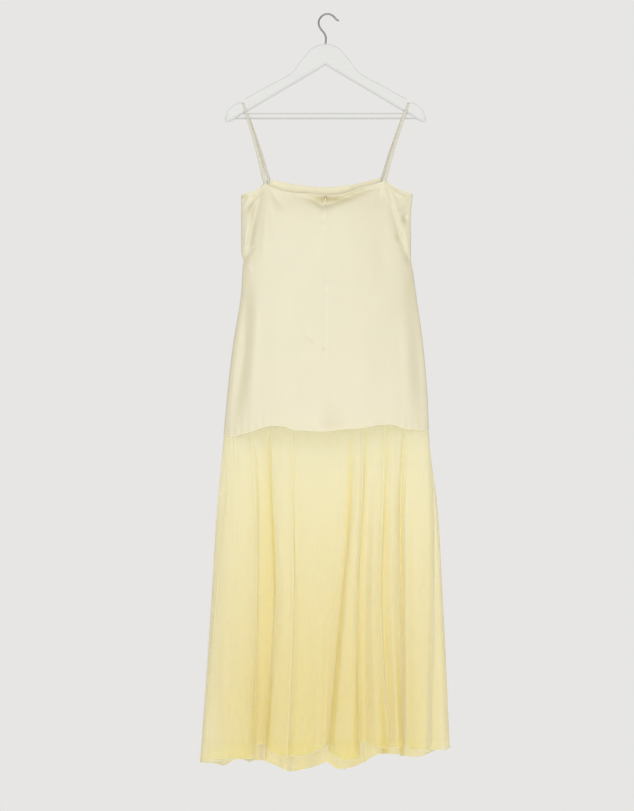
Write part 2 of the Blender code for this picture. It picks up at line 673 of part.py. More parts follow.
def build_hook():
    """The wire hook, a smooth line through its bends."""
    knots = list(range(len(HOOK_LINE)))
    xs = [bend.x for bend in HOOK_LINE]
    downs = [bend.down for bend in HOOK_LINE]
    steps = 2 * (len(HOOK_LINE) - 1)
    curve = bpy.data.curves.new("hook_line", "CURVE")
    curve.dimensions = "3D"
    curve.bevel_depth = WIRE_DIAMETER / 2 * MM
    curve.bevel_resolution = 2
    curve.use_fill_caps = True
    spline = curve.splines.new("POLY")
    spline.points.add(steps)
    for index, point in enumerate(spline.points):
        place = index / 2
        x = smooth_through(knots, xs, place)
        down = smooth_through(knots, downs, place)
        point.co = (x * MM, 0.0, -down * MM, 1.0)
    line = bpy.data.objects.new("hook_line", curve)
    bpy.context.scene.collection.objects.link(line)
    bpy.context.view_layer.update()
    hook = finish_mesh("hanger_hook", "steel", curve_to_mesh(line))
    hook.data.shade_smooth()


def strap_line(strap):
    """Middle line of a strap, from the back edge over the hanger's notch to the front edge."""
    back = satin_point(strap.back_turn, 0.0)
    front = satin_point(strap.front_turn, 0.0)
    clear = SEAM_GAP + STRAP_THICKNESS / 2
    face = HANGER_THICKNESS / 2
    floor = -NOTCH_FLOOR
    x = strap.notch_x
    back_foot = back + Vector((0.0, 0.0, SEAM_GAP))
    front_foot = front + Vector((0.0, 0.0, SEAM_GAP))
    back_top = Vector((x, -face - clear - 0.1, floor - 6.0))
    front_top = Vector((x, face + clear + 0.1, floor - 6.0))
    over = [
        Vector((x, -face - clear - 0.05, floor)),
        Vector((x, -face - clear * 0.72, floor + clear * 0.72)),
        Vector((x, -face * 0.9, floor + clear + 0.1)),
        Vector((x, 0.0, floor + clear + 0.1)),
        Vector((x, face * 0.9, floor + clear + 0.1)),
        Vector((x, face + clear * 0.72, floor + clear * 0.72)),
        Vector((x, face + clear + 0.05, floor)),
    ]
    leg_parts = (0.0, 0.06, 0.3, 0.6, 0.9)
    back_leg = [back_foot.lerp(back_top, part) for part in leg_parts]
    front_leg = [front_foot.lerp(front_top, part) for part in leg_parts]
    return back_leg + [back_top] + over + [front_top] + front_leg[::-1]


def strap_section(width, thickness):
    """Rounded flat section of a strap, as steps across and through it."""
    half = width / 2
    deep = thickness / 2
    return (
        (-half, 0.0), (-half + deep, deep), (half - deep, deep),
        (half, 0.0), (half - deep, -deep), (-half + deep, -deep),
    )


def build_straps():
    """Both straps, narrower where they bunch in the notches."""
    for strap in STRAPS:
        line = strap_line(strap)
        mesh = bmesh.new()
        rings = []
        for index, point in enumerate(line):
            before = line[max(index - 1, 0)]
            after = line[min(index + 1, len(line) - 1)]
            along = (after - before).normalized()
            if index in (0, len(line) - 1):
                along = Vector((0.0, 0.0, math.copysign(1.0, along.z)))
            side = (Vector((1.0, 0.0, 0.0)) - along * along.x).normalized()
            out = side.cross(along)
            near_notch = abs(point.z + NOTCH_FLOOR) < NOTCH_HEIGHT
            width = STRAP_NOTCH_WIDTH if near_notch else STRAP_WIDTH
            ring = [
                mesh.verts.new((point + side * across_step + out * through) * MM)
                for across_step, through in strap_section(width, STRAP_THICKNESS)
            ]
            rings.append(ring)
        sides = len(rings[0])
        for ring, following in zip(rings, rings[1:]):
            for index in range(sides):
                other = (index + 1) % sides
                mesh.faces.new((ring[index], ring[other], following[other], following[index]))
        mesh.faces.new(rings[0])
        mesh.faces.new(rings[-1])
        finish_mesh(strap.name, "strap", mesh)


def build_zip_tape():
    """The tape behind the centre back seam, made from the panels' own surface."""
    half = math.degrees(TAPE_WIDTH / 2 / -BODICE_SECTIONS[1].x_left)
    columns = [CENTRE_BACK_TURN - half, CENTRE_BACK_TURN, CENTRE_BACK_TURN + half]
    shift = -(SATIN_WALL / 2 + TAPE_GAP + TAPE_THICKNESS / 2)
    build_wall("zip_tape", "zip", satin_point, columns, TAPE_ROWS, TAPE_THICKNESS, shift)


def build_slider():
    """The slider at the top of the zip, with the cheeks and pin that hold its pull."""
    face = bodice_place(CENTRE_BACK_TURN, SLIDER_DOWN)
    wide, thick, high = SLIDER_SIZE
    x = face.x
    back_of_slider = face.y - SATIN_WALL / 2 - SLIDER_LEAN - SEAM_GAP
    front_of_slider = back_of_slider - thick
    pin = Vector((x, front_of_slider - PIN_STANDOFF, -SLIDER_DOWN))
    mesh = bmesh.new()
    box_mesh(mesh, (x, back_of_slider - thick / 2, -SLIDER_DOWN), SLIDER_SIZE)
    bmesh.ops.bevel(mesh, geom=mesh.edges[:], offset=0.5 * MM, segments=1, affect="EDGES")
    slider = finish_mesh("zip_slider", "steel", mesh)
    for side in (-1, 1):
        cheek = bmesh.new()
        centre = (x + side * CHEEK_SPACING / 2, front_of_slider - CHEEK_SIZE[1] / 2 + 0.3, pin.z)
        box_mesh(cheek, centre, CHEEK_SIZE)
        combine(slider, mesh_cutter("slider_cheek", cheek), "UNION")
    rod = cylinder_cutter("slider_pin", pin, (1, 0, 0), PIN_DIAMETER / 2, CHEEK_SPACING, 12)
    combine(slider, rod, "UNION")
    return pin


def pull_outline():
    """Outline of the pull's plate: straight sides, a narrow middle and a drop-shaped end."""
    sides = [(PULL_WIDTH / 2, 0.0), (PULL_WAIST / 2, -PULL_LENGTH * 0.55)]
    radius = PULL_END_WIDTH / 2
    drop = []
    for step in range(9):
        angle = math.radians(20 - 220 * step / 8)
        drop.append((radius * math.cos(angle), radius * (1.5 * math.sin(angle) + 1.5) - PULL_LENGTH))
    mirrored = [(-x, z) for x, z in reversed(sides)]
    return sides + drop + mirrored


def build_pull(pin):
    """The pull tab, whose rolled eye hangs on the slider's pin and turns about it."""
    hinge = bpy.data.objects.new("pull_hinge", None)
    bpy.data.collections[COLLECTION].objects.link(hinge)
    hinge.location = pin * MM
    mesh = bmesh.new()
    front = -PULL_THICKNESS / 2
    face = mesh.faces.new([mesh.verts.new((x * MM, front * MM, z * MM)) for x, z in pull_outline()])
    made = bmesh.ops.extrude_face_region(mesh, geom=[face])
    moved = [item for item in made["geom"] if isinstance(item, bmesh.types.BMVert)]
    bmesh.ops.translate(mesh, verts=moved, vec=(0.0, PULL_THICKNESS * MM, 0.0))
    pull = finish_mesh("zip_pull", "steel", mesh)
    pull.parent = hinge
    eye = cylinder_cutter("pull_eye", pin, (1, 0, 0), PULL_EYE_RADIUS, PULL_WIDTH, 16)
    combine(pull, eye, "UNION")
    hole = cylinder_cutter("pull_hole", pin, (1, 0, 0), PULL_HOLE_RADIUS, PULL_WIDTH * 2, 12)
    combine(pull, hole, "DIFFERENCE")


def main():
    for item in list(bpy.data.objects):
        bpy.data.objects.remove(item)
    for name in (COLLECTION, CUTTERS):
        bpy.context.scene.collection.children.link(bpy.data.collections.new(name))
    build_hanger_body()
    build_hanger_bar()
    build_hook()
    build_bodice()
    build_straps()
    build_skirt()
    build_zip_tape()
    build_pull(build_slider())


main()
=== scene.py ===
"""The looks of a drop-waist maxi dress on a wooden hanger, laid out as a Blender add-on.

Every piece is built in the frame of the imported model: metres, +Z up, -Y out of the dress's
back, origin at the inner top of the hook. The tables and the cloth's surfaces are in
millimetres. A turn is in degrees round the dress from the centre back, and a part is the
share of the way down the bodice or the skirt.
"""
import json
import math
from collections import namedtuple

import bmesh
import bpy
import numpy as np
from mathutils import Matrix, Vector


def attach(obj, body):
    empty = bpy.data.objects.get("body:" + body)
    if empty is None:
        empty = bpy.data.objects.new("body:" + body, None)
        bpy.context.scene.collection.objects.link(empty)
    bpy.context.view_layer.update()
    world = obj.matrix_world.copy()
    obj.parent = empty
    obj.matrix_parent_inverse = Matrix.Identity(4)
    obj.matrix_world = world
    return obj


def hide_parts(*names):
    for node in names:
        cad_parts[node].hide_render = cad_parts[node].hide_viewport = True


bl_info = {
    "name": "Drop-waist maxi dress",
    "version": (1, 0, 0),
    "blender": (4, 5, 0),
    "location": "View3D > Sidebar > Dress",
    "description": "Builds a satin and chiffon maxi dress on its hanger",
    "category": "Object",
}

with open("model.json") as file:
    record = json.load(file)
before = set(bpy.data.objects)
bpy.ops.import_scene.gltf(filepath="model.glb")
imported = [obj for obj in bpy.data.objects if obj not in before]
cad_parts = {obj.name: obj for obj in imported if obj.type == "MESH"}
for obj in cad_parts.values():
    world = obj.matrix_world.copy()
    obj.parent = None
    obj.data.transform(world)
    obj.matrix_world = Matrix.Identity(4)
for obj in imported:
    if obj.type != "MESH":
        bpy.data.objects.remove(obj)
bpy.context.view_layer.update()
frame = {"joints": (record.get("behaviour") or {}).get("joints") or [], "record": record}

MM = 0.001
FULL_TURN = 360.0
DRESS_BODY = "dress"
PULL_BODY = "pull"
SEAM_GAP = 0.3
CENTRE_BACK_TURN = -1.0
RIGHT = np.array((1.0, 0.0, 0.0))
INWARD = np.array((0.0, 1.0, 0.0))
UP = np.array((0.0, 0.0, 1.0))
RECORD_COLOURS = {row["slot"]: tuple(row["base_color"][:3]) for row in frame["record"]["materials"]}
PIN = Vector(frame["joints"][0]["pos_m"]) / MM


def table(kind, *rows):
    """Rows of a table with named columns."""
    return tuple(kind(*row) for row in rows)


# Bodice: outline and depth of the tube at heights down from the hook
Section = namedtuple("Section", "down x_left x_right back_depth front_depth")
BODICE_SECTIONS = table(
    Section,
    (355, -184.8, 191.6, 10.0, 10.0),
    (396, -184.8, 191.6, 12.5, 14.0),
    (430, -184.8, 188.0, 17.0, 22.0),
    (495, -184.8, 187.6, 20.0, 29.0),
    (528, -183.4, 187.5, 20.5, 30.0),
    (541, -179.6, 187.5, 20.5, 30.0),
    (553, -181.2, 190.0, 20.5, 30.0),
    (605, -184.5, 197.6, 21.5, 29.5),
    (737, -204.6, 215.6, 24.0, 28.5),
    (847, -216.7, 224.4, 25.5, 28.0),
    (960, -226.5, 228.0, 27.0, 28.5),
)
SIDE_ROUNDING = 0.72
SIDE_FADE = 2.0

# Edges of the bodice, as height down from the hook across the dress
Edge = namedtuple("Edge", "x down")
BACK_NECK = table(
    Edge,
    (-184.8, 397.0), (-176.0, 393.5), (-153.0, 386.5), (-138.0, 378.0),
    (-132.5, 373.5), (-126.0, 377.0), (-100.0, 387.5), (-78.0, 392.5),
    (-34.0, 396.0), (0.0, 400.0), (43.0, 394.7), (76.0, 382.6),
    (105.0, 375.0), (123.0, 369.5), (129.0, 367.0), (135.0, 370.5),
    (155.0, 382.5), (175.0, 389.0), (191.6, 395.0),
)
FRONT_NECK = table(
    Edge,
    (-184.8, 397.0), (-172.0, 393.0), (-150.0, 384.0), (-134.0, 368.0),
    (-126.0, 360.0), (-118.0, 361.5), (-70.0, 371.0), (0.0, 377.6),
    (70.0, 370.0), (118.0, 358.0), (126.0, 356.0), (134.0, 364.0),
    (152.0, 381.0), (175.0, 390.0), (191.6, 395.0),
)
BACK_WAIST = table(
    Edge,
    (-222.6, 925.5), (-204.0, 926.0), (-184.0, 921.0), (-166.0, 916.0),
    (-148.0, 910.0), (-139.0, 906.5), (-100.0, 903.5), (-84.0, 906.5),
    (-73.0, 911.0), (-48.0, 913.0), (0.0, 914.5), (43.0, 909.5),
    (79.0, 907.5), (115.0, 901.0), (156.0, 902.5), (170.0, 908.0),
    (197.0, 911.0), (226.8, 915.0),
)
FRONT_WAIST = table(
    Edge,
    (-222.6, 925.5), (-160.0, 934.0), (-100.0, 944.0), (-47.0, 951.0),
    (5.0, 951.5), (40.0, 945.0), (67.0, 938.0), (130.0, 925.0),
    (180.0, 918.0), (226.8, 915.0),
)

# Folds of the bodice: a line through three places; its relief stands out of the wall
SatinFold = namedtuple("SatinFold", "x_top down_top x_mid down_mid x_low down_low half_width relief")
SATIN_FOLDS = {
    "back": table(
        SatinFold,
        (-139, 372, -158, 462, -178, 552, 7, -4.6),
        (-126, 374, -130, 459, -136, 545, 13, 3.0),
        (-148, 376, -157, 402, -172, 430, 9, -2.5),
        (-170, 590, -178, 740, -204, 912, 13, -4.5),
        (127, 368, 147, 412, 172, 500, 8, 3.0),
        (141, 396, 162, 480, 187, 562, 8, -5.0),
        (188, 410, 178, 445, 160, 492, 10, -2.5),
        (196, 620, 204, 760, 212, 905, 14, -3.0),
    ),
    "front": table(
        SatinFold,
        (-128, 372, -112, 450, -104, 560, 12, 4.0),
        (-146, 392, -140, 470, -152, 580, 11, -5.0),
        (128, 370, 116, 450, 98, 570, 12, 4.5),
        (148, 390, 146, 470, 160, 590, 11, -5.5),
        (-60, 560, -70, 720, -92, 925, 24, -3.0),
        (52, 540, 66, 720, 84, 915, 24, -3.5),
    ),
}

# The drag line under which the back neckline sags, and the sag's depth along it
Sag = namedtuple("Sag", "x down depth")
NECK_SAG = table(
    Sag,
    (-64, 398, 0.0), (-34, 407, 3.4), (-6, 419.5, 8.0), (20, 413.5, 7.5),
    (60, 399.5, 5.0), (100, 383.5, 2.6), (127, 372, 0.0),
)
SAG_RETURN = 8.0
SAG_STEEPNESS = 1.9

# Panels of the bodice: node, and the lines or turns it runs between
BodicePanel = namedtuple("BodicePanel", "name first last")
BODICE_PANELS = table(
    BodicePanel,
    ("satin_back_left", "left_seam", CENTRE_BACK_TURN),
    ("satin_back_right", CENTRE_BACK_TURN, "right_seam"),
    ("satin_front", "right_seam", "left_seam"),
)
BODICE_LENGTH = 555.0
CENTRE_BACK_TOP = 400.0
CENTRE_BACK_LENGTH = 514.0
FINE_ROWS_REACH = 60.0
LIP_STANDOFF = 0.3

# Skirt: each row is a line down the skirt, turn degrees round from the centre back. Columns:
# x a fifth and half of the way down and at the hem, how far the hem stands towards the back
# (negative is towards the front), and the hem's height down from the hook.
Fold = namedtuple("Fold", "name turn x_high x_mid x_hem out_hem down_hem")
SKIRT_FOLDS = table(
    Fold,
    ("left_seam", -73.4, -217.8, -237.6, -268.0, 28, 1636),
    ("back_fold_1", -58.7, -188.0, -197.0, -214.0, 48, 1624),
    ("back_seam_1", -47.9, -153.0, -150.5, -155.0, 50, 1620),
    ("back_turn_1", -44.4, -146.5, -148.0, -163.0, 28, 1606),
    ("back_recess", -39.9, -135.0, -134.0, -146.0, 20, 1599),
    ("back_turn_2", -35.7, -122.5, -114.0, -121.0, 24, 1598),
    ("back_seam_2", -32.8, -115.0, -108.0, -133.5, 42, 1599),
    ("back_fold_2", -26.5, -95.0, -91.0, -109.0, 57, 1612),
    ("back_seam_3", -19.2, -71.0, -70.8, -83.4, 54, 1620),
    ("back_groove", -16.6, -66.0, -65.0, -75.0, 46, 1619),
    ("back_centre_left", -9.5, -36.0, -37.0, -48.0, 46, 1618),
    ("back_centre", -1.0, -5.0, -9.0, -19.0, 40, 1609),
    ("back_centre_right", 8.5, 30.0, 16.0, -1.0, 33, 1599),
    ("back_turn_3", 13.2, 52.0, 42.5, 17.0, 23, 1597),
    ("back_bend_3", 14.8, 58.5, 45.5, 18.5, 30, 1599),
    ("back_edge_3", 16.8, 59.5, 38.0, 5.4, 42, 1607),
    ("back_fold_3", 18.9, 70.0, 54.5, 38.0, 63, 1623),
    ("back_seam_4", 20.9, 79.5, 69.5, 74.7, 50, 1620),
    ("back_turn_4", 23.3, 85.0, 72.0, 62.0, 28, 1602),
    ("back_hollow_4", 26.0, 94.0, 86.0, 84.0, 27, 1594),
    ("back_fold_4", 30.0, 109.0, 101.0, 112.0, 47, 1599),
    ("back_seam_5", 34.3, 125.5, 118.5, 138.0, 42, 1603),
    ("back_turn_5", 37.5, 134.0, 126.0, 140.0, 25, 1600),
    ("back_fold_5", 41.9, 147.0, 144.0, 156.0, 41, 1602),
    ("back_edge_5", 46.0, 157.0, 158.0, 167.5, 33, 1600),
    ("back_seam_6", 49.7, 165.0, 166.5, 170.0, 10, 1598),
    ("back_edge_6", 53.6, 175.5, 175.0, 175.5, 36, 1601),
    ("back_fold_6", 64.0, 201.0, 199.0, 200.0, 56, 1603),
    ("right_seam", 87.6, 232.0, 232.0, 223.0, 44, 1606),
    ("right_turn", 91.5, 236.0, 238.0, 231.0, 26, 1608),
    ("right_fold", 96.0, 240.5, 250.0, 260.0, 24, 1611),
    ("right_edge", 101.0, 243.0, 256.0, 273.0, 8, 1610),
    ("right_back", 108.0, 236.0, 247.0, 258.0, -18, 1614),
    ("front_fold_1", 121.0, 196.0, 205.0, 214.0, -60, 1644),
    ("front_seam_1", 131.0, 162.0, 158.0, 166.0, -52, 1641),
    ("front_turn_1", 135.0, 153.0, 155.0, 174.0, -30, 1634),
    ("front_recess", 139.4, 141.0, 140.0, 154.0, -22, 1630),
    ("front_turn_2", 144.0, 128.0, 119.0, 127.0, -26, 1630),
    ("front_seam_2", 147.0, 119.0, 112.0, 138.0, -44, 1634),
    ("front_fold_2", 153.0, 98.0, 94.0, 112.0, -60, 1642),
    ("front_seam_3", 160.5, 76.0, 75.0, 84.0, -56, 1658),
    ("front_centre_right", 169.0, 44.0, 46.0, 56.0, -50, 1667),
    ("front_centre", 178.0, 10.0, 14.0, 26.0, -44, 1668),
    ("front_centre_left", 187.0, -20.0, -10.0, 4.0, -40, 1653),
    ("front_turn_3", 192.2, -42.5, -30.0, -9.0, -41, 1656),
    ("front_bend_3", 193.9, -47.5, -34.5, -16.0, -44, 1660),
    ("front_edge_3", 196.0, -53.0, -39.0, -26.0, -50, 1665),
    ("front_fold_3", 198.5, -63.0, -50.0, -48.0, -61, 1674),
    ("front_seam_4", 200.5, -73.0, -63.0, -74.0, -57, 1677),
    ("front_turn_4", 203.0, -79.0, -70.0, -84.0, -45, 1673),
    ("front_hollow_4", 206.0, -88.0, -80.0, -94.0, -40, 1668),
    ("front_fold_4", 210.0, -103.0, -95.0, -109.0, -50, 1663),
    ("front_seam_5", 214.0, -119.0, -113.0, -133.0, -46, 1652),
    ("front_turn_5", 218.0, -128.0, -120.0, -136.0, -28, 1646),
    ("front_fold_5", 223.2, -141.0, -138.0, -151.0, -44, 1649),
    ("front_edge_5", 227.0, -152.0, -153.0, -161.0, -36, 1648),
    ("front_seam_6", 230.5, -161.0, -162.0, -167.0, -14, 1646),
    ("front_edge_6", 234.5, -171.0, -171.0, -173.5, -40, 1650),
    ("front_fold_6", 246.0, -196.0, -194.0, -198.0, -60, 1650),
    ("left_back", 258.0, -221.0, -226.0, -226.0, -44, 1661),
    ("left_turn", 265.0, -229.0, -236.0, -240.0, -26, 1653),
    ("left_edge", 275.0, -236.5, -250.4, -275.4, -2, 1644),
)
FOLD_LEVELS = (0.0, 0.2, 0.5, 1.0)
FOLD_ROUNDING = 0.6
FOLD_GROWTH = (1.9, -1.4, 0.5)

# Panels of the skirt: node, and the lines it runs between
SkirtPanel = namedtuple("SkirtPanel", "name first last")
SKIRT_PANELS = table(
    SkirtPanel,
    ("skirt_back_left_3", "left_seam", "back_seam_1"),
    ("skirt_back_left_2", "back_seam_1", "back_seam_2"),
    ("skirt_back_left_1", "back_seam_2", "back_seam_3"),
    ("skirt_back_centre", "back_seam_3", "back_seam_4"),
    ("skirt_back_right_1", "back_seam_4", "back_seam_5"),
    ("skirt_back_right_2", "back_seam_5", "back_seam_6"),
    ("skirt_back_right_3", "back_seam_6", "right_seam"),
    ("skirt_front_right_3", "right_seam", "front_seam_1"),
    ("skirt_front_right_2", "front_seam_1", "front_seam_2"),
    ("skirt_front_right_1", "front_seam_2", "front_seam_3"),
    ("skirt_front_centre", "front_seam_3", "front_seam_4"),
    ("skirt_front_left_1", "front_seam_4", "front_seam_5"),
    ("skirt_front_left_2", "front_seam_5", "front_seam_6"),
    ("skirt_front_left_3", "front_seam_6", "left_seam"),
)

# Straps: thin flat ribbons over the hanger's notches, tucked inside the neck edge
STRAP_WIDTH = 7.5
STRAP_NOTCH_WIDTH = 4.2
STRAP_THICKNESS = 1.6
STRAP_CORNERS = 14
STRAP_SQUARENESS = 0.75
STRAP_TUCK = 9.0
STRAP_RISE = 12.0
STRAP_INSET = 1.5
STRAP_LEAN = 2.0
STRAP_BOW = 2.0
STRAP_BOW_SHARES = (0.25, 0.5, 0.75, 0.93)
STRAP_RIM_SHARE = 0.8
STRAP_RISE_INSET = 0.3
STRAP_DROP = 6.0
STRAP_ROOM = 0.1
STRAP_CORNER = 0.72
STRAP_FLAT = 0.9
STRAP_STEPS = 150
STRAP_TWIST = math.radians(9.0)
STRAP_TWIST_LENGTH = 61.0
STRAP_UNEVEN = 0.04
STRAP_UNEVEN_LENGTH = 23.0
BUNCH_CLEAR = 8.0
BUNCH_REACH = 22.0
Strap = namedtuple("Strap", "name back_turn front_turn notch_x")
STRAPS = table(
    Strap,
    ("strap_left", -46.15, 223.2, -180.6),
    ("strap_right", 41.9, 139.4, 182.0),
)

# Hanger: the upper edges of an arm and of the wing past its notch, and the straight lower edge,
# which also carries the bar between its ends
HANGER_THICKNESS = 13.0
NOTCH_WIDTH = 6.2
NOTCH_FLOOR = 196.0
BAR_DIAMETER = 13.5
BAR_DOWN = 222.4
WIRE_DIAMETER = 4.0
ARM_TOP = table(
    Edge,
    (-33.0, 77.0), (0.0, 64.7), (33.0, 77.0), (52.0, 99.7), (71.0, 124.5),
    (93.5, 139.8), (120.0, 153.2), (150.0, 170.0), (179.2, 186.4),
)
WING_TOP = table(
    Edge,
    (185.5, 193.0), (191.0, 193.6), (204.4, 201.3), (216.3, 214.9), (221.4, 228.4),
)
ARM_BOTTOM = table(
    Edge,
    (0.0, 110.0), (9.0, 116.4), (208.0, 234.2), (219.4, 236.4), (221.4, 228.6),
)
TOP_ROUNDING = 3.2
TOP_ROOM = 0.8
BOTTOM_ROUNDING = 8.2
BOTTOM_ROOM = 0.9
BOTTOM_CRISPNESS = 0.6
NOTCH_ROUNDING = 0.5
NOTCH_SHIFTS = (-NOTCH_ROUNDING, -0.05, 0.05, NOTCH_ROUNDING)
ROUNDING_STEPS = 7
SIDE_SUPPORT = 0.5
SUPPORT_ROOM = 0.1
LEAST_ROUND = 0.02
HANGER_STEPS = 90
HANGER_SHARP = 40.0
BAR_SHARP = 30.0
HANGER_TIP_STEPS = (0.2, 0.7, 1.6, 3.0)
BAR_CORNERS = 40
BAR_SHARES = (-1.0, -0.997, -0.6, 0.0, 0.6, 0.997, 1.0)
STEM_END_DOWN = 110.4
HOOK_STEPS = 120
HOOK_CORNERS = 20
HOOK_TIP_STEPS = (0.0, 0.4, 1.1)
Bend = namedtuple("Bend", "x down")
HOOK_LINE = table(
    Bend,
    (0.0, 84.0), (0.0, 66.0), (0.0, 46.0), (-4.0, 38.5), (-9.4, 32.0),
    (-14.2, 23.0), (-14.9, 14.5), (-11.0, 6.0), (-4.4, 0.0), (4.0, -2.2),
    (12.2, -0.6), (18.6, 4.0), (23.6, 9.6), (29.5, 13.2),
)

# Zip at the centre back: its two tapes, between turns from the seam, and its teeth
ZIP_TOP_PART = 0.02
ZIP_END_PART = 0.64
ZIP_END_DOWN = 737.0
TAPE_TURNS = (0.3, 3.6)
TAPE_COLUMNS = 6
TAPE_ROWS = 110
TAPE_THICKNESS = 0.5
TAPE_INSET = 1.65
TEETH_INSET = 2.5
TEETH_END_PART = 0.63
TEETH_ROWS = 160
TOOTH_SHARE = 0.75
TOOTH_WIDTH = 3.0
TOOTH_DEPTH = 1.1

# Tack at the zip's end: four rows of thread across the seam
TACK_DROPS = (0.9, 0.3, -0.3, -0.9)
TACK_STANDOFF = 0.7
TACK_WIDTH = 2.6
TACK_THREAD = 0.5
TACK_PART = (ZIP_END_DOWN - CENTRE_BACK_TOP) / CENTRE_BACK_LENGTH

# Slider and pull, with their outlines as shares along, of the width and of the depth
Station = namedtuple("Station", "along wide deep")
SLIDER_SIZE = (4.6, 2.0, 7.0)
SLIDER_CORNERS = 20
SLIDER_SQUARENESS = 0.7
SLIDER_SHAPE = table(
    Station,
    (0.0, 0.5, 0.5), (0.06, 0.86, 0.86), (0.2, 1.0, 1.0), (0.5, 0.96, 1.0), (0.8, 0.82, 1.0),
    (0.94, 0.66, 0.8), (1.0, 0.4, 0.4),
)
SLIDER_BODY_SIZE = (4.2, 1.4, 6.0)
SLIDER_BODY_INSET = 1.4
SLIDER_BODY_CORNERS = 16
SLIDER_BODY_SHAPE = table(
    Station,
    (-0.5, 0.6, 0.6), (-0.45, 0.92, 0.92), (-0.25, 1.0, 1.0), (0.0, 1.0, 1.0), (0.25, 1.0, 1.0),
    (0.45, 0.92, 0.92), (0.5, 0.6, 0.6),
)
SLIDER_BODY_MIDDLE = 3
SLIDER_NECK_SIZE = (1.2, 3.8)
SLIDER_NECK_CORNERS = 12
CHEEK_SIZE = (0.9, 3.2, 2.6)
CHEEK_SHAPE = table(Station, (-0.5, 0.86, 0.86), (-0.42, 1.0, 1.0), (0.42, 1.0, 1.0), (0.5, 0.86, 0.86))
CHEEK_SPACING = 3.7
CHEEK_SINK = 0.3
PIN_DIAMETER = 1.1
PIN_CORNERS = 16
PIN_STANDOFF = 2.0
PULL_LENGTH = 19.0
PULL_EYE_RADIUS = 1.55
PULL_EYE_HALF_WIDTH = 1.012
PULL_HOLE_RADIUS = 0.85
PULL_DARK_FROM = 0.82
PULL_SHAPE = table(
    Station,
    (0.0, 0.7, 0.35), (0.04, 1.0, 0.42), (0.16, 1.0, 0.45), (0.35, 0.85, 0.42), (0.55, 0.68, 0.42),
    (0.68, 0.72, 0.44), (0.76, 1.1, 0.45), (0.84, 1.6, 0.45), (0.9, 1.8, 0.45), (0.95, 1.55, 0.4),
    (0.985, 0.9, 0.3), (1.0, 0.3, 0.15),
)
PULL_CORNERS = 16
EYE_STEPS = 24
EYE_CORNERS = 10
SMALL_SQUARENESS = 0.8
METAL_SHARP = 40.0

# Fine creases of the satin: a short line from its top to its low end, with its relief
Crease = namedtuple("Crease", "x_top down_top x_low down_low half_width relief")
SATIN_CREASES = {
    "back": table(
        Crease,
        (-129, 380, -104, 452, 7, 1.2),
        (-125, 382, -84, 438, 6, -1.0),
        (-137, 382, -170, 424, 4.5, -1.9),
        (-142, 392, -174, 446, 5, 1.4),
        (-182, 543, -152, 506, 4, -2.0),
        (-181, 545, -158, 566, 5, 1.6),
        (-173, 397, -182, 416, 4.5, -2.2),
        (-164, 396, -150, 414, 4, 1.2),
        (-180, 420, -165, 436, 4, -1.2),
        (-177, 470, -172, 520, 4, 1.2),
        (-60, 700, -16, 738, 6, -1.0),
        (-52, 694, -12, 726, 6, 0.5),
        (-66, 393, -60, 410, 4, -0.9),
        (-52, 394, -47, 413, 4, 0.8),
        (-38, 396, -34, 412, 4, -0.8),
        (34, 398, 104, 382, 6, -1.5),
        (20, 408, 96, 396, 7, 1.0),
        (-8, 408, -70, 398, 7, -1.2),
        (131, 374, 152, 426, 4.5, -1.6),
        (134, 376, 176, 404, 4.5, 1.5),
        (140, 384, 182, 398, 3.5, -1.3),
        (156, 432, 189, 417, 3.5, -1.6),
        (124, 376, 112, 420, 6, -0.9),
        (172, 438, 178, 462, 6, -2.6),
        (186, 440, 168, 472, 4.5, 1.5),
        (161, 478, 157, 502, 6, -2.0),
        (172, 512, 186, 548, 4.5, -2.0),
        (120, 430, 128, 620, 22, -1.3),
        (84, 640, 96, 890, 26, 1.2),
        (-92, 560, -108, 880, 26, 1.3),
        (-150, 600, -166, 900, 12, 1.6),
        (174, 640, 184, 890, 13, 1.5),
        (36, 760, 52, 905, 18, -1.0),
        (-34, 790, -42, 905, 20, -0.9),
    ),
    "front": table(
        Crease,
        (-122, 366, -84, 440, 8, 1.0),
        (122, 364, 88, 430, 8, 1.0),
        (-136, 376, -168, 430, 7, -1.2),
        (138, 372, 172, 426, 7, -1.3),
        (-62, 378, -8, 398, 12, -1.3),
        (66, 377, 12, 400, 12, -1.4),
        (186, 452, 150, 480, 6, -1.4),
        (-182, 470, -148, 500, 6, -1.4),
        (-182, 543, -150, 560, 6, 1.2),
        (0, 560, 10, 900, 30, 1.4),
        (104, 600, 122, 900, 22, -1.5),
        (-116, 620, -134, 920, 22, -1.4),
        (150, 640, 172, 905, 14, 1.6),
        (-152, 660, -176, 915, 14, 1.6),
    ),
}

# Soft round spots: hollows of the satin, by their depth
Spot = namedtuple("Spot", "x down half_width half_height amount")
SOFT_HOLLOWS = table(Spot, (18, 888, 22, 22, 2.4), (-12, 560, 60, 80, 1.0))

# Small waves of the chiffon: length along the hem, height, phase, drift down the skirt, and swell
Wave = namedtuple("Wave", "length height phase drift swell")
CHIFFON_WAVES = table(
    Wave,
    (63.0, 0.9, 0.6, 1.1, 190.0),
    (37.0, 0.6, 2.1, -1.6, 140.0),
    (22.0, 0.3, 4.4, 0.8, 110.0),
)

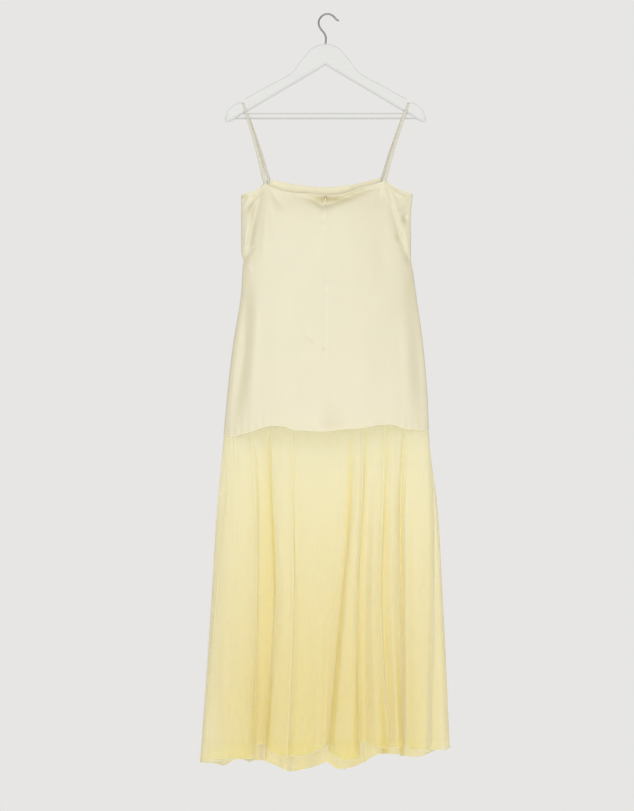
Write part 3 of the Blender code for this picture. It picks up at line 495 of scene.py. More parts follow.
# Pressed edges of the folds: line, height and reach either side
FoldEdge = namedtuple("FoldEdge", "name height reach")
FOLD_EDGES = table(
    FoldEdge,
    ("back_edge_3", 1.8, 4.0), ("back_fold_1", 0.9, 5.0), ("back_fold_2", 1.0, 5.0),
    ("back_fold_4", 1.0, 4.0), ("back_fold_5", 1.1, 4.0), ("back_edge_6", 1.2, 4.0),
    ("front_edge_3", 1.6, 4.0), ("front_fold_2", 1.0, 5.0), ("front_fold_5", 1.1, 4.0),
    ("front_edge_6", 1.2, 4.0), ("left_edge", 0.8, 4.0), ("right_edge", 0.8, 4.0),
)
WAVE_MEAN = 0.55
GATHERS = table(Wave, (17.0, 0.45, 0.3, 0.0, 60.0), (10.5, 0.3, 1.9, 0.0, 45.0))
GATHER_MEAN = 0.6
GATHER_START = 3.0
GATHER_REACH = 26.0
WAIST_STEP = 2.65
WAVES_AT_TOP = 0.15
WAVES_RISE = 0.3
FOLD_EDGE_RISE = 0.7
SKIRT_LENGTH = 705.0
SEAM_PUCKER = 0.3
SEAM_PUCKER_LENGTH = 19.0
SEAM_PUCKER_REACH = 8.0
SEAM_PUCKER_SHIFT = 37.0
SEAM_PUCKER_RISE = 0.5
HEM_FLARE = 0.5
HEM_FLARE_LENGTH = 24.0
HEM_FLARE_REACH = 16.0

# Puckers of the satin beside its waist seam, its neck edge and its zip, in waves not all alike
UNEVEN_BEND = 1.3
UNEVEN_STRETCH = 2.7
WAIST_PUCKER = 0.5
WAIST_PUCKER_LENGTH = 15.0
WAIST_PUCKER_REACH = 16.0
WAIST_PUCKER_PLACES = (110.0, 170.0)
WAIST_PUCKER_SHARES = (0.45, 1.0)
NECK_PUCKER = 0.3
NECK_PUCKER_LENGTH = 21.0
NECK_PUCKER_REACH = 9.0
ZIP_RIPPLE = 0.25
ZIP_RIPPLE_LENGTH = 27.0
ZIP_RIPPLE_REACH = 11.0
ZIP_RIPPLE_FADE = 30.0

# Painted shade: soft patches where the satin is painted darker, in the shade of a fold, round the slider and
# at the sides
SHADED_PATCHES = table(
    Spot,
    (-4, 407, 15, 9, 0.42), (-20, 409, 16, 7, 0.22), (16, 408, 18, 8, 0.26),
    (42, 406, 28, 6, 0.24), (18, 900, 26, 15, 0.12), (8, 872, 18, 20, 0.06),
    (173, 452, 5, 10, 0.32), (159, 491, 5, 9, 0.22), (180, 534, 5, 14, 0.22),
    (-180, 400, 6, 8, 0.30), (-170, 388, 9, 4, 0.22), (-164, 430, 5, 16, 0.22),
    (-158, 480, 6, 46, 0.16), (-172, 534, 5, 14, 0.18), (-4, 736, 4, 5, 0.22),
    (-184, 800, 22, 150, 0.09), (-170, 640, 14, 60, 0.09), (198, 780, 20, 170, 0.05),
    (182, 600, 12, 60, 0.12), (150, 384, 22, 5, 0.14), (30, 408, 20, 5, 0.2),
    (60, 396, 20, 4.5, 0.26), (84, 388, 16, 3.5, 0.2),
)

# Painted light and shade: how far the cloth's colour is painted paler as a highlight along the seam at the
# centre back, and darker as shade in the folds of the chiffon, as shares at parts of the way down
PAINTED_LIGHT = "tone"
SEAM_HIGHLIGHT_TURN = 0.9
SEAM_HIGHLIGHT_PARTS = (0.0, 0.03, 0.64, 0.78, 0.84)
SEAM_HIGHLIGHT_SHARES = (0.0, 1.0, 0.7, 0.3, 0.0)
# Painted shade: turns where the chiffon is painted darker in a fold, with their half widths and shares
ShadedStreak = namedtuple("ShadedStreak", "turn half_turn share")
SHADED_STREAKS = table(
    ShadedStreak,
    (-44.6, 1.1, 0.75), (-38.5, 3.0, 0.35), (-34.4, 1.7, 0.8), (-18.2, 0.6, 0.45),
    (13.8, 1.5, 0.9), (22.8, 1.4, 0.8), (37.2, 2.4, 0.5), (49.7, 1.5, 0.75),
    (81.0, 0.8, 0.4),
)
FOLD_SHADE_PARTS = (0.0, 0.08, 0.3, 0.7, 1.0)
FOLD_SHADE_SHARES = (0.0, 0.45, 1.0, 0.95, 0.6)

# Seams, edges and stitches
SEAM_STEP = 6.0
SEAM_CORNERS = 8
SEAM_SQUARENESS = 0.8
SEAM_COVER = 0.6
RING_STEP = 3.0
STITCH_CORNERS = 6
STITCH_RINGS = 4
STITCH_SHARES = (0.85, 1.1)
STITCH_SEED = 3
SMALL_STITCH = 0.8
BEAD_CORNERS = 10
WAIST_STITCH_PART = 1.0 - 2.4 / BODICE_LENGTH
NECK_STITCH_PART = 3.4 / BODICE_LENGTH
HEM_STITCH_PART = 1.0 - 2.6 / SKIRT_LENGTH

# How closely the cloth's surfaces are followed
TURN_REACH = 0.12
PART_REACH = 0.002
FINE_TURNS = 700
BEND_PER_COLUMN = 0.4
SEAM_TRIM = 0.05
COLUMN_LEVELS = (0.0, 0.35, 0.7, 1.0)
SKIRT_ROW_SHARE = 1.6
EDGE_ROW_SHARE = 0.35
CLOTH_SHARP = 60.0

# Finishes: spans are heights down from the hook, covers are shares of a layer's own cover, tints, worn
# places and painted highlights are shares of a colour, and a bump is its depth in metres and strength
WAVE_UNIT = math.pi / 10
THREAD_UNEVEN = {"Distortion": 0.4, "Detail": 1.0, "Detail Scale": 0.05}
NOISE_RANGE = (0.3, 0.7)
EVEN = (1.0, 1.0, 1.0)
Spots = namedtuple("Spots", "size stretch detail")
SATIN_CLOUD = Spots(0.07, (1.0, 2.2, 1.0), 2.0)
SATIN_SLUB = Spots(0.0016, (9.0, 1.0, 1.0), 2.0)
SATIN_STRETCH = (1.0, 5.0)
SATIN_TINTS = (0.985, 1.012)
SATIN_WORN = 0.94
SATIN_WEAR = 0.35
SATIN_GLOSS = (0.40, 0.49)
SATIN_BUMP = (0.00003, 0.5)
# Painted highlight: the share by which the satin is painted paler along its centre back seam
SATIN_SEAM_HIGHLIGHT = 1.045
CHIFFON_CLOUD = Spots(0.05, (1.0, 3.0, 1.0), 2.0)
CHIFFON_SLUB = Spots(0.0022, (1.0, 14.0, 1.0), 2.0)
CHIFFON_CREPE = Spots(0.0007, EVEN, 1.0)
CHIFFON_TINTS = (0.985, 1.015)
CHIFFON_WORN = 0.95
CHIFFON_WEAR = 0.3
CHIFFON_BUMP = (0.00005, 0.5)
THREAD_FUZZ = Spots(0.0004, EVEN, 2.0)
THREAD_TINTS = (0.9, 1.04)
THREAD_BUMP = (0.00004, 0.6)
PAINT_CLOUD = Spots(0.06, EVEN, 2.0)
PAINT_GRAIN = Spots(0.0018, (22.0, 1.0, 2.0), 3.0)
PAINT_TINTS = (0.99, 1.01)
PAINT_WORN = 0.93
PAINT_WEAR = 0.25
PAINT_GLOSS = (0.46, 0.54)
PAINT_BUMP = (0.00003, 0.4)
METAL_CLOUD = Spots(0.008, EVEN, 2.0)
METAL_MARKS = Spots(0.0006, (1.0, 1.0, 12.0), 3.0)
METAL_TINTS = (0.94, 1.03)
METAL_GLOSS = (0.8, 1.25)
METAL_BUMP = (0.00002, 0.4)
FLOOR_CLOUD = Spots(0.3, EVEN, 2.0)
FLOOR_TINTS = (0.99, 1.01)
# Painted light: over this span the satin's inner side is painted paler, standing in for the light that its
# shade lacks
LIT_REVERSE_SPAN = (480.0, 860.0)
# Painted shade: over this span the chiffon is painted darker towards the hem, fully within the nearer of
# these distances from the middle and not at all past the farther
LOW_SHADE_SPAN = (940.0, 1500.0)
LOW_SHADE_SIDES = (330.0, 150.0)
GATHER_SPAN = (930.0, 990.0)
GATHER_COVER = 1.16
HEM_SPAN = (1590.0, 1622.0)
HEM_COVER = 1.3
WEAVE_COVERS = (0.74, 1.1)
SLUB_COVERS = (0.95, 1.06)

# Stage
CAMERA_PLACE = (-0.0187, -3.2, -0.8591)
CAMERA_LENS = 64.57
FLOOR_DOWN = 2.05
FLOOR_RADIUS = 1.0
FLOOR_CORNERS = 96
SHEER_BOUNCES = 64
DIFFUSE_BOUNCES = 6
AMBIENT_STRENGTH = 0.62
StudioLight = namedtuple("StudioLight", "name place aim size power")
STUDIO_LIGHTS = table(
    StudioLight,
    ("key_light", (-0.5, -3.5, -0.1), (0.0, 0.0, -0.8), 1.6, 51.5),
    ("fill_light", (0.8, -3.3, -1.5), (0.0, 0.0, -0.9), 1.7, 31.0),
    ("back_light", (0.6, 3.4, 0.1), (0.0, 0.0, -0.9), 2.8, 62.0),
)


def smooth_through(knots, values, places):
    """Values at places on the smooth lines through all knots, level beyond their ends."""
    knots = np.asarray(knots, dtype=float)
    values = np.asarray(values, dtype=float)
    places = np.clip(places, knots[0], knots[-1])
    wide = (slice(None),) + (None,) * (values.ndim - 1)
    spans = np.diff(knots)[wide]
    slopes = np.diff(values, axis=0) / spans
    inner = (slopes[:-1] * spans[1:] + slopes[1:] * spans[:-1]) / (spans[:-1] + spans[1:])
    tangents = np.concatenate((slopes[:1], inner, slopes[-1:]))
    left = np.clip(np.searchsorted(knots, places, side="right") - 1, 0, len(knots) - 2)
    span = knots[left + 1] - knots[left]
    part = (places - knots[left]) / span
    for _ in range(values.ndim - 1):
        span = span[..., None]
        part = part[..., None]
    weight = part * part * (3.0 - 2.0 * part)
    value = values[left] * (1.0 - weight) + values[left + 1] * weight
    value = value + tangents[left] * span * part * (1.0 - part) ** 2
    return value - tangents[left + 1] * span * part * part * (1.0 - part)


def column(rows, name):
    """One column of a table."""
    return np.array([getattr(row, name) for row in rows], dtype=float)


def edge_down(edge, x):
    """Height down of an edge of the bodice at a place across the dress."""
    return smooth_through(column(edge, "x"), column(edge, "down"), x)


def section_at(down):
    """Left side, right side, back depth and front depth of the bodice at a height."""
    values = np.array([section[1:] for section in BODICE_SECTIONS])
    return np.moveaxis(smooth_through(column(BODICE_SECTIONS, "down"), values, down), -1, 0)


def across(turn, down):
    """Place across the dress of a line at a turn."""
    x_left, x_right = section_at(down)[:2]
    return (x_left + x_right) / 2 + (x_right - x_left) / 2 * np.sin(np.radians(turn))


def fold_relief(side, x, down):
    """How far the main folds and hollows of the satin stand out."""
    total = np.zeros(np.broadcast(x, down).shape)
    for fold in SATIN_FOLDS[side]:
        knots = (fold.down_top, fold.down_mid, fold.down_low)
        line = smooth_through(knots, (fold.x_top, fold.x_mid, fold.x_low), down)
        part = np.clip((down - fold.down_top) / (fold.down_low - fold.down_top), 0.0, 1.0)
        total += fold.relief * np.sin(np.pi * part) * np.exp(-(((x - line) / fold.half_width) ** 2))
    if side == "back":
        total -= sag_depth(x, down)
    return total


def sag_depth(x, down):
    """Depth of the trough between the back neckline and its drag line."""
    line = smooth_through(column(NECK_SAG, "x"), column(NECK_SAG, "down"), x)
    depth = np.maximum(smooth_through(column(NECK_SAG, "x"), column(NECK_SAG, "depth"), x), 0.0)
    top = edge_down(BACK_NECK, x)
    part = np.clip((down - top) / np.maximum(line - top, 1.0), 0.0, 1.0)
    below = np.maximum(down - line, 0.0)
    return depth * (1.0 - (1.0 - part) ** SAG_STEEPNESS) * np.exp(-((below / SAG_RETURN) ** 2))


def spot_total(spots, x, down):
    """Sum of soft round spots at a place."""
    total = 0.0
    for spot in spots:
        wide = ((x - spot.x) / spot.half_width) ** 2
        high = ((down - spot.down) / spot.half_height) ** 2
        total = total + spot.amount * np.exp(-wide - high)
    return total


def crease_relief(side, x, down):
    """How far the fine creases of the satin stand out."""
    total = np.zeros(np.broadcast(x, down).shape)
    for crease in SATIN_CREASES[side]:
        run = np.array((crease.x_low - crease.x_top, crease.down_low - crease.down_top), dtype=float)
        length = np.hypot(*run)
        step_x = x - crease.x_top
        step_down = down - crease.down_top
        part = np.clip((step_x * run[0] + step_down * run[1]) / length ** 2, 0.0, 1.0)
        aside = (step_x * run[1] - step_down * run[0]) / length
        fade = np.sin(np.pi * part)
        total += crease.relief * fade * np.exp(-((aside / crease.half_width) ** 2))
    if side == "back":
        total -= spot_total(SOFT_HOLLOWS, x, down)
    return total


def on_back(turn):
    """Whether a turn is on the dress's back."""
    return np.cos(np.radians(turn)) > 0


def by_side(turn, relief, x, down):
    """Relief of the side that each turn is on."""
    return np.where(on_back(turn), relief("back", x, down), relief("front", x, down))


def bodice_place(turn, down, fine=0.0):
    """Middle of the satin at a turn and a height, with its fine relief added."""
    back_depth, front_depth = section_at(down)[2:]
    x = across(turn, down)
    facing = np.cos(np.radians(turn))
    bulge = np.abs(facing) ** SIDE_ROUNDING
    depth = np.where(facing > 0, back_depth, front_depth)
    relief = by_side(turn, fold_relief, x, down) + fine
    out = depth * bulge + relief * np.minimum(1.0, bulge * SIDE_FADE)
    z = -np.asarray(down) + 0.0 * x
    return np.stack((x, -np.copysign(out, facing), z), axis=-1)


def neck_down(turn):
    """Height down of the bodice's top edge."""
    x = across(turn, BODICE_SECTIONS[1].down)
    return np.where(on_back(turn), edge_down(BACK_NECK, x), edge_down(FRONT_NECK, x))


def waist_down(turn):
    """Height down of the seam between satin and skirt."""
    x = across(turn, BACK_WAIST[0].down - SEAM_GAP)
    return np.where(on_back(turn), edge_down(BACK_WAIST, x), edge_down(FRONT_WAIST, x))


def uneven_wave(place, length):
    """A wave whose humps are not all alike."""
    bend = UNEVEN_BEND * np.sin(place / (length * UNEVEN_STRETCH))
    return np.sin(2 * np.pi * place / length + bend)


def pucker_relief(turn, x, down):
    """Small puckers of the satin beside its seams and its zip."""
    at_ends = np.interp(np.abs(x), WAIST_PUCKER_PLACES, WAIST_PUCKER_SHARES)
    above_waist = np.maximum(waist_down(turn) - down, 0.0)
    beside_waist = at_ends * np.exp(-above_waist / WAIST_PUCKER_REACH)
    total = WAIST_PUCKER * uneven_wave(x, WAIST_PUCKER_LENGTH) * beside_waist
    below_neck = np.maximum(down - neck_down(turn), 0.0)
    beside_neck = np.exp(-below_neck / NECK_PUCKER_REACH)
    total = total + NECK_PUCKER * uneven_wave(x, NECK_PUCKER_LENGTH) * beside_neck
    off_zip = np.abs(x - across(CENTRE_BACK_TURN, down))
    above_end = np.clip((ZIP_END_DOWN - down) / ZIP_RIPPLE_FADE, 0.0, 1.0)
    beside_zip = np.exp(-off_zip / ZIP_RIPPLE_REACH) * above_end
    ripple = ZIP_RIPPLE * uneven_wave(down, ZIP_RIPPLE_LENGTH) * beside_zip
    return total + np.where(on_back(turn), ripple, 0.0)


def satin(turns, parts):
    """Middle of the satin, turns in a row and parts in a column."""
    top = neck_down(turns)
    down = top + (waist_down(turns) - SEAM_GAP / 2 - top) * parts
    x = across(turns, down)
    fine = by_side(turns, crease_relief, x, down)
    return bodice_place(turns, down, fine + pucker_relief(turns, x, down))


def lines_all_round():
    """The skirt's lines, carried on past the left seam at both ends of the round."""
    before = [fold._replace(turn=fold.turn - FULL_TURN) for fold in SKIRT_FOLDS[-2:]]
    after = [fold._replace(turn=fold.turn + FULL_TURN) for fold in SKIRT_FOLDS[:2]]
    return before + list(SKIRT_FOLDS) + after


def running_total(steps):
    """Totals of steps, from nothing before the first."""
    return np.concatenate(([0.0], np.cumsum(steps)))


ROUND = lines_all_round()
ROUND_TURNS = column(ROUND, "turn")
HEM_STEPS = np.hypot(np.diff(column(ROUND, "x_hem")), np.diff(column(ROUND, "out_hem")))
HEM_PLACES = running_total(HEM_STEPS ** FOLD_ROUNDING)
HEM_ARCS = running_total(HEM_STEPS)
ROUND_WAIST = bodice_place(ROUND_TURNS, waist_down(ROUND_TURNS))
ROUND_X = np.stack(
    (ROUND_WAIST[:, 0], column(ROUND, "x_high"), column(ROUND, "x_mid"), column(ROUND, "x_hem"))
)


def fold_growth(part):
    """Share of a fold's full depth that it has, part of the way down the skirt."""
    return sum(share * part ** power for power, share in enumerate(FOLD_GROWTH, 1))


def turn_of(name):
    """Turn of a named line of the skirt."""
    return next(fold.turn for fold in SKIRT_FOLDS if fold.name == name)


SEAM_TURNS = [turn_of(panel.first) for panel in SKIRT_PANELS]


def smooth_skirt(turns, parts):
    """Middle of the skirt's wall without its small waves."""
    heights = parts[:, 0]
    shift_x = smooth_through(FOLD_LEVELS, ROUND_X, heights) - ROUND_WAIST[:, 0]
    growth = fold_growth(heights)[:, None]
    shift_y = (-column(ROUND, "out_hem") - ROUND_WAIST[:, 1]) * growth
    lines = np.stack((shift_x.T, shift_y.T), axis=-1)
    places = np.interp(turns[0], ROUND_TURNS, HEM_PLACES)
    shifts = np.swapaxes(smooth_through(HEM_PLACES, lines, places), 0, 1)
    seam = waist_down(turns[0])
    ring = bodice_place(turns[0], seam)
    top = seam + SEAM_GAP / 2
    hem = smooth_through(HEM_PLACES, column(ROUND, "down_hem"), places)
    down = top + (hem - top) * parts
    level = ring[None, :, :2] + shifts
    return np.concatenate((level, -down[..., None]), axis=-1)


def swelling(wave, place, mean, phase=0.0):
    """Height of a wave that swells and fades about a mean share along a line."""
    return wave.height * (mean + (1.0 - mean) * np.sin(place / wave.swell * 2 * np.pi + phase))


def small_waves(turns, parts):
    """How far the chiffon's small waves, gathers and puckers stand out."""
    arc = np.interp(turns, ROUND_TURNS, HEM_ARCS)
    down = parts * SKIRT_LENGTH
    total = 0.0
    growth = (WAVES_AT_TOP + (1.0 - WAVES_AT_TOP) * parts) * parts ** WAVES_RISE
    for wave in CHIFFON_WAVES:
        run = 2 * np.pi * arc / wave.length + wave.phase + wave.drift * parts
        total = total + swelling(wave, arc, WAVE_MEAN, wave.phase) * np.sin(run) * growth
    round_waist = turns * WAIST_STEP
    start = (1.0 - np.exp(-down / GATHER_START)) * np.exp(-down / GATHER_REACH)
    for wave in GATHERS:
        run = 2 * np.pi * round_waist / wave.length + wave.phase
        total = total + swelling(wave, round_waist, GATHER_MEAN) * np.sin(run) * start
    for index, seam in enumerate(SEAM_TURNS + [SEAM_TURNS[0] + FULL_TURN]):
        off = arc - np.interp(seam, ROUND_TURNS, HEM_ARCS)
        beside = np.exp(-((off / SEAM_PUCKER_REACH) ** 2)) * parts ** SEAM_PUCKER_RISE
        pucker = uneven_wave(down + SEAM_PUCKER_SHIFT * index, SEAM_PUCKER_LENGTH)
        total = total + SEAM_PUCKER * beside * pucker
    along_fold = np.sin(np.pi * np.clip(parts, 0.0, 1.0) ** FOLD_EDGE_RISE)
    for edge in FOLD_EDGES:
        off = np.abs(arc - np.interp(turn_of(edge.name), ROUND_TURNS, HEM_ARCS))
        total = total + edge.height * np.exp(-off / edge.reach) * along_fold
    at_hem = np.exp(-(SKIRT_LENGTH - down) / HEM_FLARE_REACH)
    return total + HEM_FLARE * at_hem * uneven_wave(arc, HEM_FLARE_LENGTH)


def skirt(turns, parts):
    """Middle of the skirt's wall, turns in a row and parts in a column."""
    along = smooth_skirt(turns + TURN_REACH, parts) - smooth_skirt(turns - TURN_REACH, parts)
    level = np.stack((along[..., 1], -along[..., 0], np.zeros(along.shape[:2])), axis=-1)
    level /= np.linalg.norm(level, axis=-1, keepdims=True)
    return smooth_skirt(turns, parts) + level * small_waves(turns, parts)[..., None]


def directions(surface, turns, parts):
    """Unit directions along the cloth, and out of it."""
    along = surface(turns + TURN_REACH, parts) - surface(turns - TURN_REACH, parts)
    lower = np.minimum(parts + PART_REACH, 1.0)
    upper = np.maximum(parts - PART_REACH, 0.0)
    down = surface(turns, lower) - surface(turns, upper)
    out = np.cross(down, along)
    along /= np.linalg.norm(along, axis=-1, keepdims=True)
    return along, out / np.linalg.norm(out, axis=-1, keepdims=True)


def even_columns(surface, first, last, step):
    """Turns of a panel's columns, even along the cloth and closer where it bends."""
    if last <= first:
        last += FULL_TURN
    fine = np.linspace(first, last, FINE_TURNS)
    places = surface(fine[None, :], np.array(COLUMN_LEVELS)[:, None])
    steps = np.diff(places[..., :2], axis=1)
    headings = np.unwrap(np.arctan2(steps[..., 1], steps[..., 0]), axis=1)
    bends = np.abs(np.diff(headings, axis=1, prepend=headings[:, :1]))
    cost = np.linalg.norm(steps, axis=-1) / step + bends / BEND_PER_COLUMN
    totals = running_total(cost.max(axis=0))
    return np.interp(np.linspace(0.0, totals[-1], math.ceil(totals[-1]) + 1), totals, fine)


def place_piece(name, mesh, material):
    """A piece of the dress from a mesh, with its finish."""
    mesh.materials.clear()
    mesh.materials.append(material)
    piece = bpy.data.objects.new(name, mesh)
    bpy.context.scene.collection.objects.link(piece)
    return piece


def grid_faces(rows, columns):
    """Faces of a closed shell of two grids, the outer one first."""
    index = np.arange(rows * columns * 2).reshape(2, rows, columns)
    outer, inner = index

    def quads(a, b, c, d):
        """Quads from four equal blocks of corners."""
        return np.stack((a, b, c, d), axis=-1).reshape(-1, 4)

    return np.concatenate(
        (
            quads(outer[:-1, :-1], outer[1:, :-1], outer[1:, 1:], outer[:-1, 1:]),
            quads(inner[:-1, :-1], inner[:-1, 1:], inner[1:, 1:], inner[1:, :-1]),
            quads(outer[0, :-1], outer[0, 1:], inner[0, 1:], inner[0, :-1]),
            quads(outer[-1, 1:], outer[-1, :-1], inner[-1, :-1], inner[-1, 1:]),
            quads(outer[:-1, 0], inner[:-1, 0], inner[1:, 0], outer[1:, 0]),
            quads(outer[:-1, -1], outer[1:, -1], inner[1:, -1], inner[:-1, -1]),
        )
    )


def put_uv(mesh, values):
    """Gives a mesh a UV map from one pair of values for each vertex."""
    corners = np.empty(len(mesh.loops), dtype=np.int32)
    mesh.loops.foreach_get("vertex_index", corners)
    layer = mesh.uv_layers.new(name="UVMap")
    layer.data.foreach_set("uv", values[corners].astype(np.float32).ravel())


Cloth = namedtuple("Cloth", "piece width length area")


def build_cloth(name, surface, columns, rows, thickness, material, trim=SEAM_TRIM):
    """A panel of cloth as a thin closed shell, with its flat size in metres."""
    turns = columns[None, :]
    parts = rows[:, None]
    middle = surface(turns, parts)
    along, out = directions(surface, turns, parts)
    middle[:, 0] += along[:, 0] * trim
    middle[:, -1] -= along[:, -1] * trim
    half = out * (thickness / 2)
    points = np.concatenate((middle + half, middle - half)).reshape(-1, 3) * MM
    mesh = bpy.data.meshes.new(name)
    mesh.from_pydata(points.tolist(), [], grid_faces(len(rows), len(columns)).tolist())
    right = np.linalg.norm(np.diff(middle, axis=1), axis=-1)
    below = np.linalg.norm(np.diff(middle, axis=0), axis=-1)
    wide = np.concatenate((np.zeros((len(rows), 1)), np.cumsum(right, axis=1)), axis=1)
    wide -= wide[:, -1:] / 2
    deep = np.concatenate((np.zeros((1, len(columns))), np.cumsum(below, axis=0)))
    grain = np.stack((wide, deep), axis=-1).reshape(-1, 2) * MM
    put_uv(mesh, np.concatenate((grain, grain)))
    mesh.shade_smooth()
    mesh.set_sharp_from_angle(angle=math.radians(CLOTH_SHARP))
    quads = (right[:-1] + right[1:]) / 2 * (below[:, :-1] + below[:, 1:]) / 2
    width = (wide[:, -1] - wide[:, 0]).max() * MM
    return Cloth(place_piece(name, mesh, material), width, deep[-1].mean() * MM, quads.sum() * MM * MM)


def put_painted_light(piece, tone):
    """Keeps the painted light and shade of a cloth, how far its colour departs from its own, at each of its
    points.
    """
    layer = piece.data.attributes.new(PAINTED_LIGHT, "FLOAT", "POINT")
    values = np.concatenate((tone.ravel(), tone.ravel())).astype(np.float32)
    layer.data.foreach_set("value", values)


def put_reverse(piece, material, rows, columns):
    """Gives the inner side of a cloth its own finish."""
    count = (len(rows) - 1) * (len(columns) - 1)
    slots = np.zeros(len(piece.data.polygons), dtype=np.int32)
    slots[count:count * 2] = 1
    piece.data.materials.append(material)
    piece.data.polygons.foreach_set("material_index", slots)


def satin_painted_light(turns, parts):
    """Painted light on the satin: how much paler it is painted as a highlight along its centre back seam, or
    darker as painted shade, which is below 0.
    """
    off = np.abs(turns - CENTRE_BACK_TURN)
    along_seam = np.interp(parts, SEAM_HIGHLIGHT_PARTS, SEAM_HIGHLIGHT_SHARES)
    seam = np.clip(1.0 - off / SEAM_HIGHLIGHT_TURN, 0.0, 1.0) * along_seam
    top = neck_down(turns)
    down = top + (waist_down(turns) - top) * parts
    return seam - spot_total(SHADED_PATCHES, across(turns, down), down) * on_back(turns)


def fold_painted_shade(turns, parts):
    """Painted shade on the chiffon: how deep it lies in a fold, where it is painted darker."""
    seen_turns = np.degrees(np.arcsin(np.sin(np.radians(turns))))
    depth = 0.0
    for streak in SHADED_STREAKS:
        off = (seen_turns - streak.turn) / streak.half_turn
        depth = depth + streak.share * np.exp(-(off ** 2))
    return depth * np.interp(parts, FOLD_SHADE_PARTS, FOLD_SHADE_SHARES)


def declare_cloth(cloth, node):
    """Makes a panel of cloth part of the dress's body and hides the CAD node that it stands in for."""
    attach(cloth.piece, DRESS_BODY)
    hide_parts(node)


def ride_dress(piece, slot, *nodes):
    """Makes a piece part of the dress's body, in place of CAD nodes."""
    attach(piece, DRESS_BODY)
    if nodes:
        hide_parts(*nodes)
    return piece


def unit(vectors):
    """Vectors of length one."""
    return vectors / np.linalg.norm(vectors, axis=-1, keepdims=True)


def ellipse(half_wide, half_thick, corners, squareness=1.0):
    """Section of a sweep, from a circle to a rounded bar."""
    angles = np.linspace(0.0, 2 * np.pi, corners, endpoint=False)
    wide = np.copysign(np.abs(np.cos(angles)) ** squareness, np.cos(angles))
    thick = np.copysign(np.abs(np.sin(angles)) ** squareness, np.sin(angles))
    return np.stack((wide * half_wide, thick * half_thick), axis=-1)


def sweep_rings(points, sides, outs, sections):
    """Rings of points round a line, one section at each of its points."""
    steps = sides[:, None, :] * sections[..., 0:1] + outs[:, None, :] * sections[..., 1:2]
    return points[:, None, :] + steps


def add_tube(mesh, rings):
    """Adds a closed tube through rings to a bmesh, with UV in metres round and along it."""
    grain = mesh.loops.layers.uv.verify()
    verts = [[mesh.verts.new(point) for point in ring] for ring in rings * MM]
    count = len(verts[0])
    round_steps = np.linalg.norm(np.diff(np.vstack((rings[0], rings[0][:1])), axis=0), axis=-1)
    round_places = running_total(round_steps) * MM
    middles = rings.mean(axis=1)
    long_places = running_total(np.linalg.norm(np.diff(middles, axis=0), axis=-1)) * MM
    for row in range(len(verts) - 1):
        for index in range(count):
            other = (index + 1) % count
            corners = (verts[row][index], verts[row][other], verts[row + 1][other], verts[row + 1][index])
            face = mesh.faces.new(corners)
            places = ((index, row), (index + 1, row), (index + 1, row + 1), (index, row + 1))
            for loop, (round_index, long_index) in zip(face.loops, places):
                loop[grain].uv = (round_places[round_index], long_places[long_index])
    mesh.faces.new(verts[0])
    mesh.faces.new(verts[-1])


def line_of(x, y, z):
    """Points of a line from their three places, of which some are the same all along."""
    return np.stack(np.broadcast_arrays(x, y, z), axis=-1).astype(float)


def add_straight(mesh, points, side, out, sections):
    """Adds a closed tube whose sections all face the same way."""
    count = len(points)
    add_tube(mesh, sweep_rings(points, np.tile(side, (count, 1)), np.tile(out, (count, 1)), sections))


def shaped(shape, wide, deep, corners, squareness):
    """Sections of a small part, whose width and depth follow its outline."""
    halves = [(row.wide * wide / 2, row.deep * deep / 2) for row in shape]
    return np.array([ellipse(*half, corners, squareness) for half in halves])


def finish_mesh(name, mesh, material, sharp=CLOTH_SHARP):
    """A piece from a closed bmesh, its faces pointing out and its sides smooth."""
    bmesh.ops.recalc_face_normals(mesh, faces=mesh.faces)
    data = bpy.data.meshes.new(name)
    mesh.to_mesh(data)
    mesh.free()
    data.shade_smooth()
    data.set_sharp_from_angle(angle=math.radians(sharp))
    return place_piece(name, data, material)


def tube_piece(name, rings, material, sharp=CLOTH_SHARP):
    """A piece that is one closed tube through rings."""
    mesh = bmesh.new()
    add_tube(mesh, np.array(rings))
    return finish_mesh(name, mesh, material, sharp)


def line_mesh(name, points, loop):
    """A line of edges for a node tree to grow a piece on."""
    count = len(points)
    edges = [(index, index + 1) for index in range(count - 1)]
    if loop:
        edges.append((count - 1, 0))
    data = bpy.data.meshes.new(name)
    data.from_pydata((points * MM).tolist(), edges, [])
    return data


def add_node(tree, kind, inputs=(), **settings):
    """Adds a node with its settings; its inputs are values or other nodes' outputs."""
    node = tree.nodes.new(kind)
    for key, value in settings.items():
        setattr(node, key, value)
    for key, value in dict(inputs).items():
        if isinstance(value, bpy.types.NodeSocket):
            tree.links.new(value, node.inputs[key])
        else:
            node.inputs[key].default_value = value
    return node


def calculate(tree, operation, *values):
    """A number worked out from others."""
    return add_node(tree, "ShaderNodeMath", dict(enumerate(values)), operation=operation).outputs[0]


def new_geometry_tree(name, lengths):
    """A geometry node tree with named lengths as its inputs."""
    tree = bpy.data.node_groups.new(name, "GeometryNodeTree")
    tree.interface.new_socket("Line", in_out="INPUT", socket_type="NodeSocketGeometry")
    for label, value in lengths.items():
        socket = tree.interface.new_socket(label, in_out="INPUT", socket_type="NodeSocketFloat")
        socket.subtype = "DISTANCE"
        socket.default_value = value
    tree.interface.new_socket("Piece", in_out="OUTPUT", socket_type="NodeSocketGeometry")
    return tree


def end_tree(tree, geometry, material):
    """Ends a tree with real geometry that has its finish."""
    real = add_node(tree, "GeometryNodeRealizeInstances", {"Geometry": geometry})
    smooth = add_node(tree, "GeometryNodeSetShadeSmooth", {"Geometry": real.outputs[0]})
    finish = add_node(tree, "GeometryNodeSetMaterial", {"Geometry": smooth.outputs[0], "Material": material})
    add_node(tree, "NodeGroupOutput", {"Piece": finish.outputs[0]})


